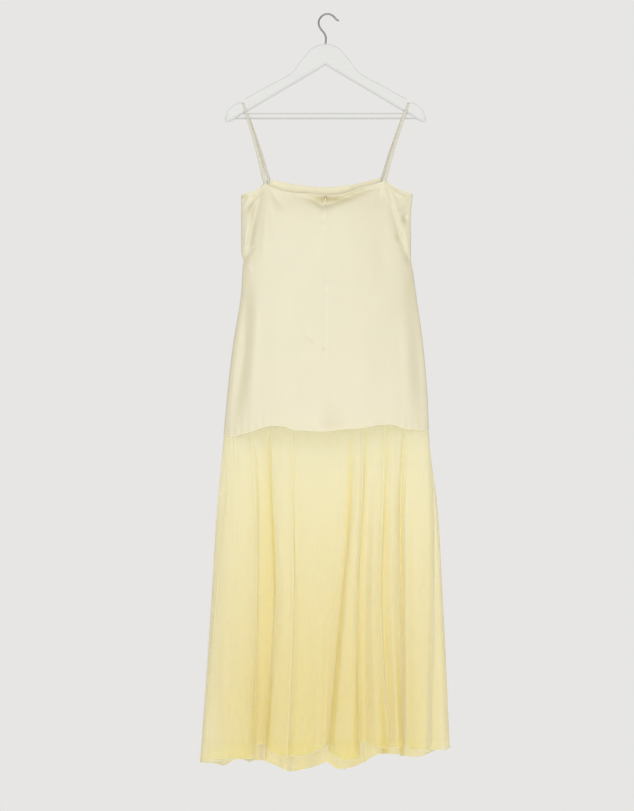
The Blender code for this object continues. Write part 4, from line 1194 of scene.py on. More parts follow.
def bead_tree(name, radius, material):
    """A round bead or roll of cloth that follows a line."""
    tree = new_geometry_tree(name, {"Radius": radius})
    start = add_node(tree, "NodeGroupInput")
    line = add_node(tree, "GeometryNodeMeshToCurve", {"Mesh": start.outputs["Line"]})
    round_section = {"Resolution": BEAD_CORNERS, "Radius": start.outputs["Radius"]}
    circle = add_node(tree, "GeometryNodeCurvePrimitiveCircle", round_section)
    bead = add_node(
        tree,
        "GeometryNodeCurveToMesh",
        {"Curve": line.outputs[0], "Profile Curve": circle.outputs[0], "Fill Caps": True},
    )
    end_tree(tree, bead.outputs[0], material)
    return tree


def stitch_lengths(spacing, length, width, thickness):
    """Lengths of a run of stitches, as its node tree takes them."""
    return {"Spacing": spacing, "Length": length, "Width": width, "Thickness": thickness}


def stitch_tree(name, lengths, material):
    """Small rounded stitches along a line, each a little different."""
    tree = new_geometry_tree(name, lengths)
    start = add_node(tree, "NodeGroupInput").outputs
    line = add_node(tree, "GeometryNodeMeshToCurve", {"Mesh": start["Line"]})
    evenly = {"Curve": line.outputs[0], "Length": start["Spacing"]}
    places = add_node(tree, "GeometryNodeCurveToPoints", evenly, mode="LENGTH")
    ball = {"Segments": STITCH_CORNERS, "Rings": STITCH_RINGS, "Radius": 0.5}
    shape = add_node(tree, "GeometryNodeMeshUVSphere", ball)
    tangent = {"Vector": places.outputs["Tangent"]}
    turn = add_node(tree, "FunctionNodeAlignRotationToVector", tangent, axis="X")
    least, most = STITCH_SHARES
    shares = {2: least, 3: most, "Seed": STITCH_SEED}
    varied = add_node(tree, "FunctionNodeRandomValue", shares, data_type="FLOAT")
    long_side = calculate(tree, "MULTIPLY", start["Length"], varied.outputs[1])
    size = add_node(
        tree, "ShaderNodeCombineXYZ", {"X": long_side, "Y": start["Thickness"], "Z": start["Width"]}
    )
    stitches = add_node(
        tree,
        "GeometryNodeInstanceOnPoints",
        {
            "Points": places.outputs["Points"],
            "Instance": shape.outputs[0],
            "Rotation": turn.outputs[0],
            "Scale": size.outputs[0],
        },
    )
    end_tree(tree, stitches.outputs[0], material)
    return tree


def grow(name, line, tree, lengths, material):
    """A plain mesh piece that a node tree grows on a line."""
    source = bpy.data.objects.new(name + "_line", line)
    bpy.context.scene.collection.objects.link(source)
    growth = source.modifiers.new("Growth", "NODES")
    growth.node_group = tree
    for item in tree.interface.items_tree:
        if item.name in lengths:
            growth[item.identifier] = lengths[item.name]
    depsgraph = bpy.context.evaluated_depsgraph_get()
    mesh = bpy.data.meshes.new_from_object(source.evaluated_get(depsgraph))
    bpy.data.objects.remove(source)
    mesh.name = name
    return place_piece(name, mesh, material)


def new_material(name, roughness, **sockets):
    """A material and its shader, with the numbers that are the same all over."""
    material = bpy.data.materials.new(name)
    material.use_nodes = True
    shader = material.node_tree.nodes["Principled BSDF"]
    shader.inputs["Roughness"].default_value = roughness
    for key, value in sockets.items():
        shader.inputs[key.replace("_", " ").title().replace("Ior", "IOR")].default_value = value
    return material, shader


def shade(colour, factor):
    """A colour made lighter or darker, with its opaque fourth number."""
    return (*[min(1.0, part * factor) for part in colour], 1.0)


def threads(tree, place, pitch, stretch=(1.0, 1.0)):
    """Height of a plain weave, from 0 between its threads to 1 on them."""
    waves = []
    for direction, spread in zip("XY", stretch):
        settings = {"Vector": place, "Scale": WAVE_UNIT / (pitch * spread), **THREAD_UNEVEN}
        wave = add_node(tree, "ShaderNodeTexWave", settings, wave_type="BANDS", bands_direction=direction)
        waves.append(wave.outputs["Fac"])
    return calculate(tree, "MAXIMUM", *waves)


def place_on(tree, kind="Object"):
    """Places on an object or on its cloth."""
    return add_node(tree, "ShaderNodeTexCoord").outputs[kind]


def noise(tree, place, spots):
    """Soft uneven noise whose spots are about a size in metres."""
    spread = add_node(
        tree, "ShaderNodeMapping", {"Vector": place, "Scale": [1.0 / side for side in spots.stretch]}
    )
    settings = {"Vector": spread.outputs[0], "Scale": 1.0 / spots.size, "Detail": spots.detail}
    return add_node(tree, "ShaderNodeTexNoise", settings).outputs["Fac"]


def map_range(tree, value, before=(0.0, 1.0), after=(0.0, 1.0), kind="LINEAR"):
    """A number moved from one range to another."""
    ends = {"From Min": before[0], "From Max": before[1], "To Min": after[0], "To Max": after[1]}
    return add_node(tree, "ShaderNodeMapRange", {"Value": value, **ends}, interpolation_type=kind).outputs[0]


def between(tree, factor, low, high):
    """A number that runs from low to high over the range of a noise."""
    return map_range(tree, factor, NOISE_RANGE, (low, high))


def blend_colours(tree, factor, first, second):
    """A colour between two others."""
    return add_node(tree, "ShaderNodeMix", {0: factor, 6: first, 7: second}, data_type="RGBA").outputs[2]


def cloudy(tree, place, spots, colour, tints):
    """A colour that varies softly between two of its shades."""
    share = between(tree, noise(tree, place, spots), 0.0, 1.0)
    return blend_colours(tree, share, shade(colour, tints[0]), shade(colour, tints[1]))


def wear(tree, marks, most, colour, worn_colour):
    """A colour that turns partly into another where a noise is high."""
    return blend_colours(tree, between(tree, marks, 0.0, most), colour, worn_colour)


def raise_surface(tree, shader, height, bump):
    """Gives a shader a bump of a depth in metres and a strength."""
    depth, strength = bump
    raised = add_node(tree, "ShaderNodeBump", {"Height": height, "Distance": depth, "Strength": strength})
    tree.links.new(raised.outputs[0], shader.inputs["Normal"])


def down_the_dress(tree, span, after=(0.0, 1.0)):
    """A number that runs over a range between two heights down from the hook."""
    place = add_node(tree, "ShaderNodeSeparateXYZ", {0: place_on(tree)})
    return map_range(tree, place.outputs["Z"], [height * -MM for height in span], after)


def satin_material(name, colour, pitch, on_uv=True, shade_colour=None, lit_low_colour=None):
    """Smooth satin: fine warp floats, faint slubs and a soft sheen, with a painted highlight along the
    centre back seam, painted shade where a shade colour is given, and painted light on the inner side lower
    down where a lit colour is given.
    """
    material, shader = new_material(
        name,
        roughness=0.44,
        specular_ior_level=0.5,
        sheen_weight=0.05,
        sheen_roughness=0.4,
        subsurface_weight=0.45,
        subsurface_radius=(1.0, 0.95, 0.75),
        subsurface_scale=0.002,
    )
    tree = material.node_tree
    place = place_on(tree, "UV" if on_uv else "Object")
    slub = noise(tree, place, SATIN_SLUB)
    tint = cloudy(tree, place, SATIN_CLOUD, colour, SATIN_TINTS)
    worn = wear(tree, slub, SATIN_WEAR, tint, shade(colour, SATIN_WORN))
    tone = add_node(tree, "ShaderNodeAttribute", attribute_name=PAINTED_LIGHT).outputs["Fac"]
    # Painted highlight: where the painted light is above 0 the satin is painted paler, along its centre back
    # seam
    painted_light_colour = blend_colours(tree, tone, worn, shade(colour, SATIN_SEAM_HIGHLIGHT))
    # Painted shade: where the painted light is below 0 the satin turns towards its shade colour
    if shade_colour:
        depth = calculate(tree, "MULTIPLY", tone, -1.0)
        painted_light_colour = blend_colours(tree, depth, painted_light_colour, shade(shade_colour, 1.0))
    # Painted light: lower down, the inner side turns towards a paler colour that stands in for light
    if lit_low_colour:
        painted_light_colour = blend_colours(tree, down_the_dress(tree, LIT_REVERSE_SPAN), painted_light_colour, shade(lit_low_colour, 1.0))
    tree.links.new(painted_light_colour, shader.inputs["Base Color"])
    tree.links.new(between(tree, slub, *SATIN_GLOSS), shader.inputs["Roughness"])
    height = calculate(tree, "ADD", threads(tree, place, pitch, SATIN_STRETCH), slub)
    raise_surface(tree, shader, height, SATIN_BUMP)
    return material


def chiffon_material(name, colour, deep, fold, cover, pitch, on_uv=True):
    """Sheer crepe chiffon: a fine open weave, painted darker and deeper in colour towards the hem in the
    middle and deep in its folds, as painted shade; deep and fold are the colours of that painted shade.
    """
    material, shader = new_material(
        name,
        roughness=0.72,
        specular_ior_level=0.2,
        sheen_weight=1.0,
        sheen_roughness=0.35,
        subsurface_weight=0.8,
        subsurface_radius=(1.0, 1.0, 0.8),
        subsurface_scale=0.002,
    )
    tree = material.node_tree
    place = place_on(tree, "UV" if on_uv else "Object")
    slub = noise(tree, place, CHIFFON_SLUB)
    weave = threads(tree, place, pitch)
    # Painted shade: towards the hem and near the middle the chiffon turns to its darker shade colour
    across_dress = add_node(tree, "ShaderNodeSeparateXYZ", {0: place_on(tree)}).outputs["X"]
    off_middle = calculate(tree, "ABSOLUTE", across_dress)
    middle = map_range(tree, off_middle, [side * MM for side in LOW_SHADE_SIDES], kind="SMOOTHSTEP")
    share = calculate(tree, "MULTIPLY", down_the_dress(tree, LOW_SHADE_SPAN), middle)
    evenly = blend_colours(tree, share, shade(colour, 1.0), shade(deep, 1.0))
    # Painted shade: deep in its folds the chiffon turns to its fold shade colour
    tone = add_node(tree, "ShaderNodeAttribute", attribute_name=PAINTED_LIGHT).outputs["Fac"]
    fold_shaded = blend_colours(tree, tone, evenly, shade(fold, 1.0))
    light = between(tree, noise(tree, place, CHIFFON_CLOUD), *CHIFFON_TINTS)
    tint = add_node(tree, "ShaderNodeVectorMath", {0: fold_shaded, 1: light}, operation="MULTIPLY").outputs[0]
    worn = wear(tree, slub, CHIFFON_WEAR, tint, shade(deep, CHIFFON_WORN))
    tree.links.new(worn, shader.inputs["Base Color"])
    side_cover = 1.0 - math.sqrt(1.0 - cover)
    woven = map_range(tree, weave, after=[side_cover * part for part in WEAVE_COVERS])
    uneven = calculate(tree, "MULTIPLY", woven, between(tree, slub, *SLUB_COVERS))
    gathered = down_the_dress(tree, GATHER_SPAN, (GATHER_COVER, 1.0))
    doubled = down_the_dress(tree, HEM_SPAN, (1.0, HEM_COVER))
    ends = calculate(tree, "MULTIPLY", doubled, gathered)
    tree.links.new(calculate(tree, "MULTIPLY", uneven, ends), shader.inputs["Alpha"])
    height = calculate(tree, "ADD", weave, noise(tree, place, CHIFFON_CREPE))
    raise_surface(tree, shader, height, CHIFFON_BUMP)
    return material


def thread_material(name, colour):
    """Twisted sewing thread."""
    material, shader = new_material(name, roughness=0.6, specular_ior_level=0.3)
    tree = material.node_tree
    fuzz = noise(tree, place_on(tree), THREAD_FUZZ)
    tint = blend_colours(tree, fuzz, *[shade(colour, share) for share in THREAD_TINTS])
    tree.links.new(tint, shader.inputs["Base Color"])
    raise_surface(tree, shader, fuzz, THREAD_BUMP)
    return material


def paint_material(name, colour):
    """White paint over wood: a faint grain, small brush marks and softer edges."""
    material, shader = new_material(name, roughness=0.5, specular_ior_level=0.2)
    tree = material.node_tree
    place = place_on(tree)
    grain = noise(tree, place, PAINT_GRAIN)
    tint = cloudy(tree, place, PAINT_CLOUD, colour, PAINT_TINTS)
    worn = wear(tree, grain, PAINT_WEAR, tint, shade(colour, PAINT_WORN))
    tree.links.new(worn, shader.inputs["Base Color"])
    tree.links.new(between(tree, grain, *PAINT_GLOSS), shader.inputs["Roughness"])
    raise_surface(tree, shader, grain, PAINT_BUMP)
    return material


def metal_material(name, colour, roughness, metallic):
    """Drawn wire or enamel: fine lengthwise marks and an uneven gloss."""
    material, shader = new_material(name, roughness, metallic=metallic)
    tree = material.node_tree
    place = place_on(tree)
    marks = noise(tree, place, METAL_MARKS)
    tree.links.new(cloudy(tree, place, METAL_CLOUD, colour, METAL_TINTS), shader.inputs["Base Color"])
    gloss = between(tree, marks, *[roughness * share for share in METAL_GLOSS])
    tree.links.new(gloss, shader.inputs["Roughness"])
    raise_surface(tree, shader, marks, METAL_BUMP)
    return material


def colour_setting(name, description, default):
    """A colour that a user can change."""
    return bpy.props.FloatVectorProperty(
        name=name, description=description, default=default, size=3, min=0.0, max=1.0, subtype="COLOR"
    )


def length_setting(name, description, millimetres):
    """A length that a user can change."""
    return bpy.props.FloatProperty(
        name=name, description=description, default=millimetres * MM, min=0.00005, precision=5, unit="LENGTH"
    )


class DressColours(bpy.types.PropertyGroup):
    """Colours of the dress and its hanger."""

    satin: colour_setting("Satin", "The bodice's satin", (0.745, 0.695, 0.515))
    # Painted shade: the colour the satin is painted where it lies in shade
    shaded: colour_setting("Shaded satin", "The satin where it looks deepest", (0.40, 0.33, 0.08))
    # Painted light: a paler colour painted on the satin's inner side lower down, where it lies in shade
    reverse: colour_setting("Satin's reverse", "The satin's dull side, at the waist", (0.95, 0.92, 0.74))
    # Painted highlight: the rolled neck edge and the turned lower edge are painted paler than the satin,
    # standing in for the light they catch
    edge: colour_setting("Satin's edges", "The rolled neck edge", (0.86, 0.82, 0.64))
    turned: colour_setting("Turned edge", "The satin's turned lower edge", (0.95, 0.91, 0.68))
    chiffon: colour_setting("Chiffon", "The skirt's sheer cloth", (0.95, 0.885, 0.60))
    # Painted shade: the chiffon's colour where it is painted darkest towards the hem
    chiffon_low_shade: colour_setting("Deep chiffon", "The cloth where its dye is deepest", (0.85, 0.72, 0.29))
    # Painted shade: the chiffon's colour where it is painted darker in a fold
    chiffon_fold_shade: colour_setting("Chiffon in folds", "The sheer cloth deep in a fold", (0.92, 0.74, 0.14))
    seam: colour_setting("Seams", "Folded seams and hems of the chiffon", (0.98, 0.91, 0.58))
    strap: colour_setting("Straps", "The rolled straps", (0.62, 0.60, 0.50))
    thread: colour_setting("Thread", "The sewing thread", (0.80, 0.74, 0.54))
    tape: colour_setting("Zip tape", "The zip's woven tape", RECORD_COLOURS["zip_tape"])
    enamel: colour_setting("Zip pull", "The zip's pull and teeth", RECORD_COLOURS["zip_metal"])
    slider: colour_setting("Zip slider", "The zip's slider, worn to its brass", (0.42, 0.33, 0.12))
    paint: colour_setting("Hanger", "The hanger's paint", (0.72, 0.72, 0.71))
    steel: colour_setting("Hook", "The hook's wire", (0.30, 0.30, 0.29))
    backdrop: colour_setting("Backdrop", "The backdrop and its light", (0.799, 0.791, 0.775))
    floor: colour_setting("Floor", "The floor", (0.8, 0.79, 0.77))


class DressSizes(bpy.types.PropertyGroup):
    """Sizes of the cloth, its seams and its stitches."""

    cloth_step: length_setting("Cloth step", "Distance between the cloth's points", 3.2)
    satin_thickness: length_setting("Satin thickness", "Thickness of the satin", 0.9)
    chiffon_thickness: length_setting("Chiffon thickness", "Thickness of the chiffon", 0.5)
    satin_pitch: length_setting("Satin thread", "Distance between the satin's floats", 0.28)
    chiffon_pitch: length_setting("Chiffon thread", "Distance between the chiffon's threads", 0.42)
    edge_radius: length_setting("Edge radius", "Radius of the rolled neck edge", 0.9)
    lip_radius: length_setting("Lip radius", "Radius of the satin's turned lower edge", 0.95)
    hem_radius: length_setting("Hem radius", "Radius of the rolled hem", 1.15)
    seam_width: length_setting("Seam width", "Width of the skirt's French seams", 3.6)
    seam_thickness: length_setting("Seam thickness", "Thickness of the French seams", 0.8)
    stitch_length: length_setting("Stitch length", "Length of one stitch", 1.7)
    stitch_spacing: length_setting("Stitch spacing", "Distance from stitch to stitch", 2.6)
    stitch_thickness: length_setting("Stitch thickness", "Thickness of the thread", 0.34)
    tooth_spacing: length_setting("Tooth spacing", "Distance between the zip's teeth", 1.3)
    cover: bpy.props.FloatProperty(
        name="Cover",
        description="Share of the light that one layer of chiffon stops",
        default=0.57,
        min=0.05,
        max=0.95,
        subtype="FACTOR",
    )


def rows_down(length, step, fine_reach=0.0):
    """Parts of the rows of a panel, closer at its two ends and over a fine stretch at its top."""
    count = round(length / step)
    rows = np.linspace(0.0, 1.0, count + 1)
    near = EDGE_ROW_SHARE / count
    between_rows = (rows[1:-1] + rows[2:]) / 2
    extra = between_rows[between_rows < fine_reach / length]
    return np.sort(np.concatenate(([0.0, near], rows[1:-1], extra, [1.0 - near, 1.0])))


def turn_at(place):
    """Turn of a line given by name, or the turn itself."""
    return turn_of(place) if isinstance(place, str) else place


def ring_turns(surface, step):
    """Turns all round the dress, from the left seam back to it, its last point left out."""
    start = turn_of("left_seam")
    return even_columns(surface, start, start, step)[:-1]


def ring_points(surface, part, out_shift=0.0):
    """Points of a level line all round the cloth, moved out of it by a distance."""
    turns = ring_turns(surface, RING_STEP)[None, :]
    parts = np.array([[part]])
    out = directions(surface, turns, parts)[1]
    return (surface(turns, parts) + out * out_shift)[0]


def build_bead(name, surface, part, radius, material, out_shift=0.0):
    """A round bead of cloth along a level line all round the dress."""
    line = line_mesh(name + "_line", ring_points(surface, part, out_shift), True)
    tree = bead_tree(name.replace("_", " ").capitalize(), radius, material)
    return grow(name, line, tree, {"Radius": radius}, material)


class DRESS_OT_hanger(bpy.types.Operator):
    """Builds the painted hanger with its bar and its wire hook"""

    bl_idname = "dress.hanger"
    bl_label = "Hanger"

    def execute(self, context):
        colours = context.scene.dress_colours
        paint = paint_material("hanger_paint", colours.paint)
        steel = metal_material("hook_wire", colours.steel, roughness=0.42, metallic=1.0)
        ride_dress(build_hanger_wood(paint), "hanger_wood", "hanger_body")
        ride_dress(build_bar(paint), "hanger_wood", "hanger_bar")
        ride_dress(build_hook(steel), "hook_steel", "hanger_hook")
        return {"FINISHED"}


def round_end(from_tip):
    """Share of its thickness that a rounded end has, by the share of the rounding from its tip."""
    return np.sqrt(np.clip(1.0 - (1.0 - np.clip(from_tip, 0.0, 1.0)) ** 2, LEAST_ROUND, 1.0))


def rounded_edge(half_thick, high, down, up, crispness=1.0):
    """A rounding from the flat side over to the middle of an upper or lower edge."""
    angles = np.linspace(0.0, np.pi / 2, ROUNDING_STEPS)
    side = half_thick - np.minimum(high, half_thick) * (1.0 - np.cos(angles)) ** crispness
    return np.stack((side, down + up * high * (1.0 - np.sin(angles))), axis=-1)


def hanger_section(x):
    """Section of the wood across an arm, as places through its thickness and down."""
    reach = abs(x)
    notch = abs(next(strap.notch_x for strap in STRAPS if strap.notch_x * x >= 0))
    in_notch = abs(reach - notch) < NOTCH_WIDTH / 2
    top = edge_down(ARM_TOP if reach < notch else WING_TOP, reach)
    bottom = np.interp(reach, column(ARM_BOTTOM, "x"), column(ARM_BOTTOM, "down"))
    top_rounding = TOP_ROUNDING
    if in_notch:
        top, top_rounding = NOTCH_FLOOR, NOTCH_ROUNDING
    room = (bottom - top) / 2
    half_thick = HANGER_THICKNESS / 2 * round_end((WING_TOP[-1].x - reach) / HANGER_THICKNESS)
    upper = rounded_edge(half_thick, min(top_rounding, room * TOP_ROOM), top, 1.0)[::-1]
    bottom_rounding = min(BOTTOM_ROUNDING, room * BOTTOM_ROOM)
    lower = rounded_edge(half_thick, bottom_rounding, bottom, -1.0, BOTTOM_CRISPNESS)
    support = min(SIDE_SUPPORT, room * SUPPORT_ROOM)
    upper_side = upper[-1:] + (0.0, support)
    lower_side = lower[:1] - (0.0, support)
    half = np.concatenate((upper, upper_side, lower_side, lower))
    return np.concatenate((half, half[-2:0:-1] * (-1.0, 1.0)))


def hanger_stations():
    """Places along the hanger where its section is worked out, closer beside the notches."""
    even = np.linspace(0.0, WING_TOP[-1].x, HANGER_STEPS)
    stations = []
    for strap in STRAPS:
        walls = [abs(strap.notch_x) + side * NOTCH_WIDTH / 2 for side in (-1, 1)]
        clear = [place for place in even if min(abs(place - wall) for wall in walls) > NOTCH_ROUNDING * 2]
        beside = [wall + shift for wall in walls for shift in NOTCH_SHIFTS]
        tip = [WING_TOP[-1].x - shift for shift in HANGER_TIP_STEPS]
        stations.append(np.array(sorted(clear + beside + tip)) * np.sign(strap.notch_x))
    return np.unique(np.concatenate(stations))


def build_hanger_wood(material):
    """The shaped wooden body with a notch for each strap, lofted through its sections."""
    rings = []
    for x in hanger_stations():
        section = hanger_section(x)
        rings.append(np.stack((np.full(len(section), x), section[:, 0], -section[:, 1]), axis=-1))
    return tube_piece("hanger_wood_body", rings, material, HANGER_SHARP)


def build_bar(material):
    """The round bar between the arms, its ends cut along their lower edges."""
    inner, outer = ARM_BOTTOM[1:3]
    slant = (outer.x - inner.x) / (outer.down - inner.down)
    gap = SEAM_GAP * math.hypot(1.0, slant)
    section = ellipse(BAR_DIAMETER / 2, BAR_DIAMETER / 2, BAR_CORNERS)
    reach = inner.x + (BAR_DOWN + section[:, 1] - inner.down) * slant - gap
    rings = []
    for share in BAR_SHARES:
        rings.append(np.stack((reach * share, section[:, 0], -BAR_DOWN - section[:, 1]), axis=-1))
    return tube_piece("hanger_round_bar", rings, material, BAR_SHARP)


def build_hook(material):
    """The bent wire, with its stem through the wood and a rounded free end."""
    bends = [Bend(0.0, STEM_END_DOWN), *HOOK_LINE]
    xs = column(bends, "x")
    downs = column(bends, "down")
    arcs = running_total(np.hypot(np.diff(xs), np.diff(downs)))
    tip = WIRE_DIAMETER / 2
    even = np.linspace(0.0, arcs[-1], HOOK_STEPS)
    inner = even[(even > tip) & (even < arcs[-1] - tip)]
    far_end = arcs[-1] - np.array((tip, *HOOK_TIP_STEPS[::-1]))
    stations = np.concatenate((HOOK_TIP_STEPS, inner, far_end))
    points = line_of(smooth_through(arcs, xs, stations), 0.0, -smooth_through(arcs, downs, stations))
    along = unit(np.gradient(points, axis=0))
    sides = np.tile(INWARD, (len(points), 1))
    outs = np.cross(sides, along)
    rounded = round_end(np.minimum(stations, arcs[-1] - stations) / tip)
    sections = np.array([ellipse(tip * share, tip * share, HOOK_CORNERS) for share in rounded])
    return tube_piece("hanger_wire_hook", sweep_rings(points, sides, outs, sections), material)


def strap_knots(strap):
    """Places that a strap runs through, from inside the back edge over the notch to the front."""
    clear = SEAM_GAP + STRAP_THICKNESS / 2
    face = HANGER_THICKNESS / 2
    floor = -NOTCH_FLOOR
    x = strap.notch_x
    lean = math.copysign(STRAP_LEAN, x)
    half_over = [
        (x - lean, -face - clear - STRAP_ROOM, floor - STRAP_DROP),
        (x - lean / 4, -face - clear - STRAP_ROOM / 2, floor),
        (x, -face - clear * STRAP_CORNER, floor + clear * STRAP_CORNER),
        (x, -face * STRAP_FLAT, floor + clear + STRAP_ROOM),
    ]
    middle = (x, 0.0, floor + clear + STRAP_ROOM)
    over = np.array(half_over + [middle] + [(px, -py, pz) for px, py, pz in half_over[::-1]])
    legs = [
        strap_leg(turn, top, x) for turn, top in ((strap.back_turn, over[0]), (strap.front_turn, over[-1]))
    ]
    return np.concatenate((legs[0], over, legs[1][::-1]))


def strap_leg(turn, top, notch_x):
    """Places of one leg of a strap, from its tuck inside the neck edge up towards its notch."""
    turns = np.array([[turn]])
    rim = np.array([[0.0]])
    edge = satin(turns, rim)[0, 0]
    inward = -directions(satin, turns, rim)[1][0, 0]
    tuck = edge + inward * STRAP_INSET - UP * STRAP_TUCK
    rim_place = edge + inward * STRAP_INSET * STRAP_RIM_SHARE
    rise = edge + unit(top - edge) * STRAP_RISE + inward * STRAP_RISE_INSET
    knots = [tuck, (tuck + rim_place) / 2, rim_place, rise]
    for share in STRAP_BOW_SHARES:
        bow = math.copysign(STRAP_BOW * 4.0 * share * (1.0 - share), notch_x)
        knots.append(edge + (top - edge) * share - RIGHT * bow)
    return np.array(knots)


def build_strap(strap, material):
    """One rolled satin strap, bunched in its notch and sewn inside the neck edge."""
    knots = strap_knots(strap)
    arcs = running_total(np.linalg.norm(np.diff(knots, axis=0), axis=-1))
    stations = np.linspace(0.0, arcs[-1], STRAP_STEPS)
    points = smooth_through(arcs, knots, stations)
    along = unit(np.gradient(points, axis=0))
    sides = unit(RIGHT - along * along[:, :1])
    outs = np.cross(sides, along)
    lean = STRAP_TWIST * np.sin(stations / STRAP_TWIST_LENGTH + strap.notch_x)[:, None]
    sides, outs = sides * np.cos(lean) + outs * np.sin(lean), outs * np.cos(lean) - sides * np.sin(lean)
    from_notch = np.abs(points[:, 2] + NOTCH_FLOOR)
    bunch = np.clip((from_notch - BUNCH_CLEAR) / BUNCH_REACH, 0.0, 1.0)
    width = STRAP_NOTCH_WIDTH + (STRAP_WIDTH - STRAP_NOTCH_WIDTH) * bunch * bunch * (3.0 - 2.0 * bunch)
    width = width * (1.0 + STRAP_UNEVEN * np.sin(stations / STRAP_UNEVEN_LENGTH))
    half_thick = STRAP_THICKNESS / 2
    sections = np.array([ellipse(wide / 2, half_thick, STRAP_CORNERS, STRAP_SQUARENESS) for wide in width])
    return tube_piece(strap.name + "_rolled", sweep_rings(points, sides, outs, sections), material)


class DRESS_OT_straps(bpy.types.Operator):
    """Builds the two rolled straps"""

    bl_idname = "dress.straps"
    bl_label = "Straps"

    def execute(self, context):
        colours = context.scene.dress_colours
        sizes = context.scene.dress_sizes
        material = satin_material("strap_satin_roll", colours.strap, sizes.satin_pitch)
        for strap in STRAPS:
            ride_dress(build_strap(strap, material), "strap_satin", strap.name)
        return {"FINISHED"}


class DRESS_OT_bodice(bpy.types.Operator):
    """Builds the satin bodice: its front and the two halves of its back"""

    bl_idname = "dress.bodice"
    bl_label = "Bodice"

    def execute(self, context):
        colours = context.scene.dress_colours
        sizes = context.scene.dress_sizes
        pitch = sizes.satin_pitch
        material = satin_material("bodice_satin", colours.satin, pitch, shade_colour=colours.shaded)
        # The inner side's satin carries painted light, paler lower down
        reverse = satin_material("bodice_satin_reverse", colours.satin, pitch, lit_low_colour=colours.reverse)
        # Painted highlight: the neck edge and the turned edge are finished in a paler satin
        rolled = satin_material("bodice_satin_edge", colours.edge, pitch, on_uv=False)
        turned = satin_material("bodice_turned_edge", colours.turned, pitch, on_uv=False)
        step = sizes.cloth_step / MM
        thickness = sizes.satin_thickness / MM
        rows = rows_down(BODICE_LENGTH, step, FINE_ROWS_REACH)
        edge = build_bead("neck_rolled_edge", satin, 0.0, sizes.edge_radius, rolled)
        lip = build_bead("waist_turned_edge", satin, 1.0, sizes.lip_radius, turned, LIP_STANDOFF)
        for trim in (edge, lip):
            ride_dress(trim, "satin")
        for panel in BODICE_PANELS:
            columns = even_columns(satin, turn_at(panel.first), turn_at(panel.last), step)
            cloth = build_cloth(panel.name + "_cloth", satin, columns, rows, thickness, material, trim=0.0)
            put_painted_light(cloth.piece, satin_painted_light(columns[None, :], rows[:, None]))
            put_reverse(cloth.piece, reverse, rows, columns)
            declare_cloth(cloth, panel.name)
        return {"FINISHED"}


class DRESS_OT_skirt(bpy.types.Operator):
    """Builds the fourteen gores of the chiffon skirt"""

    bl_idname = "dress.skirt"
    bl_label = "Skirt"

    def execute(self, context):
        colours = context.scene.dress_colours
        sizes = context.scene.dress_sizes
        colour_and_shades = (colours.chiffon, colours.chiffon_low_shade, colours.chiffon_fold_shade)
        material = chiffon_material("skirt_chiffon", *colour_and_shades, sizes.cover, sizes.chiffon_pitch)
        step = sizes.cloth_step / MM
        thickness = sizes.chiffon_thickness / MM
        rows = rows_down(SKIRT_LENGTH, step * SKIRT_ROW_SHARE)
        for panel in SKIRT_PANELS:
            columns = even_columns(skirt, turn_of(panel.first), turn_of(panel.last), step)
            cloth = build_cloth(panel.name + "_cloth", skirt, columns, rows, thickness, material)
            put_painted_light(cloth.piece, fold_painted_shade(columns[None, :], rows[:, None]))
            declare_cloth(cloth, panel.name)
        return {"FINISHED"}


class DRESS_OT_seams(bpy.types.Operator):
    """Builds the skirt's French seams and its rolled hem"""

    bl_idname = "dress.seams"
    bl_label = "Seams and hem"

    def execute(self, context):
        sizes = context.scene.dress_sizes
        colour_and_shades = [context.scene.dress_colours.seam] * 3
        material = chiffon_material("seam_chiffon", *colour_and_shades, SEAM_COVER, sizes.chiffon_pitch, on_uv=False)
        parts = rows_down(SKIRT_LENGTH, SEAM_STEP)[1:][:, None]
        half_wide = sizes.seam_width / 2 / MM
        half_thick = sizes.seam_thickness / 2 / MM
        section = ellipse(half_wide, half_thick, SEAM_CORNERS, SEAM_SQUARENESS)
        sections = np.tile(section, (len(parts), 1, 1))
        mesh = bmesh.new()
        for seam in SEAM_TURNS:
            turns = np.array([[seam]])
            along, out = directions(skirt, turns, parts)
            add_tube(mesh, sweep_rings(skirt(turns, parts)[:, 0], along[:, 0], out[:, 0], sections))
        ride_dress(finish_mesh("skirt_french_seams", mesh, material), "chiffon")
        ride_dress(build_bead("skirt_rolled_hem", skirt, 1.0, sizes.hem_radius, material), "chiffon")
        return {"FINISHED"}


class DRESS_OT_stitches(bpy.types.Operator):
    """Sews the stitches beside the waist seam, the neck edge and the hem"""

    bl_idname = "dress.stitches"
    bl_label = "Stitches"

    def execute(self, context):
        sizes = context.scene.dress_sizes
        thread = thread_material("sewing_thread", context.scene.dress_colours.thread)
        spacing, thick = sizes.stitch_spacing, sizes.stitch_thickness
        tree = stitch_tree("Stitches", stitch_lengths(spacing, sizes.stitch_length, thick, thick), thread)
        satin_side = sizes.satin_thickness / MM / 2
        chiffon_side = sizes.chiffon_thickness / MM / 2
        runs = (
            ("waist_stitches", satin, WAIST_STITCH_PART, satin_side, 1.0, "satin"),
            ("neck_stitches", satin, NECK_STITCH_PART, satin_side, SMALL_STITCH, "satin"),
            ("hem_stitches", skirt, HEM_STITCH_PART, chiffon_side, SMALL_STITCH, "chiffon"),
        )
        for name, surface, part, side, share, slot in runs:
            lengths = stitch_lengths(spacing, sizes.stitch_length * share, thick * share, thick * share)
            line = line_mesh(name + "_line", ring_points(surface, part, side), True)
            ride_dress(grow(name, line, tree, lengths, thread), slot)
        return {"FINISHED"}


def tape_surface(inset):
    """A surface inside the satin by a distance."""
    return lambda turns, parts: satin(turns, parts) - directions(satin, turns, parts)[1] * inset


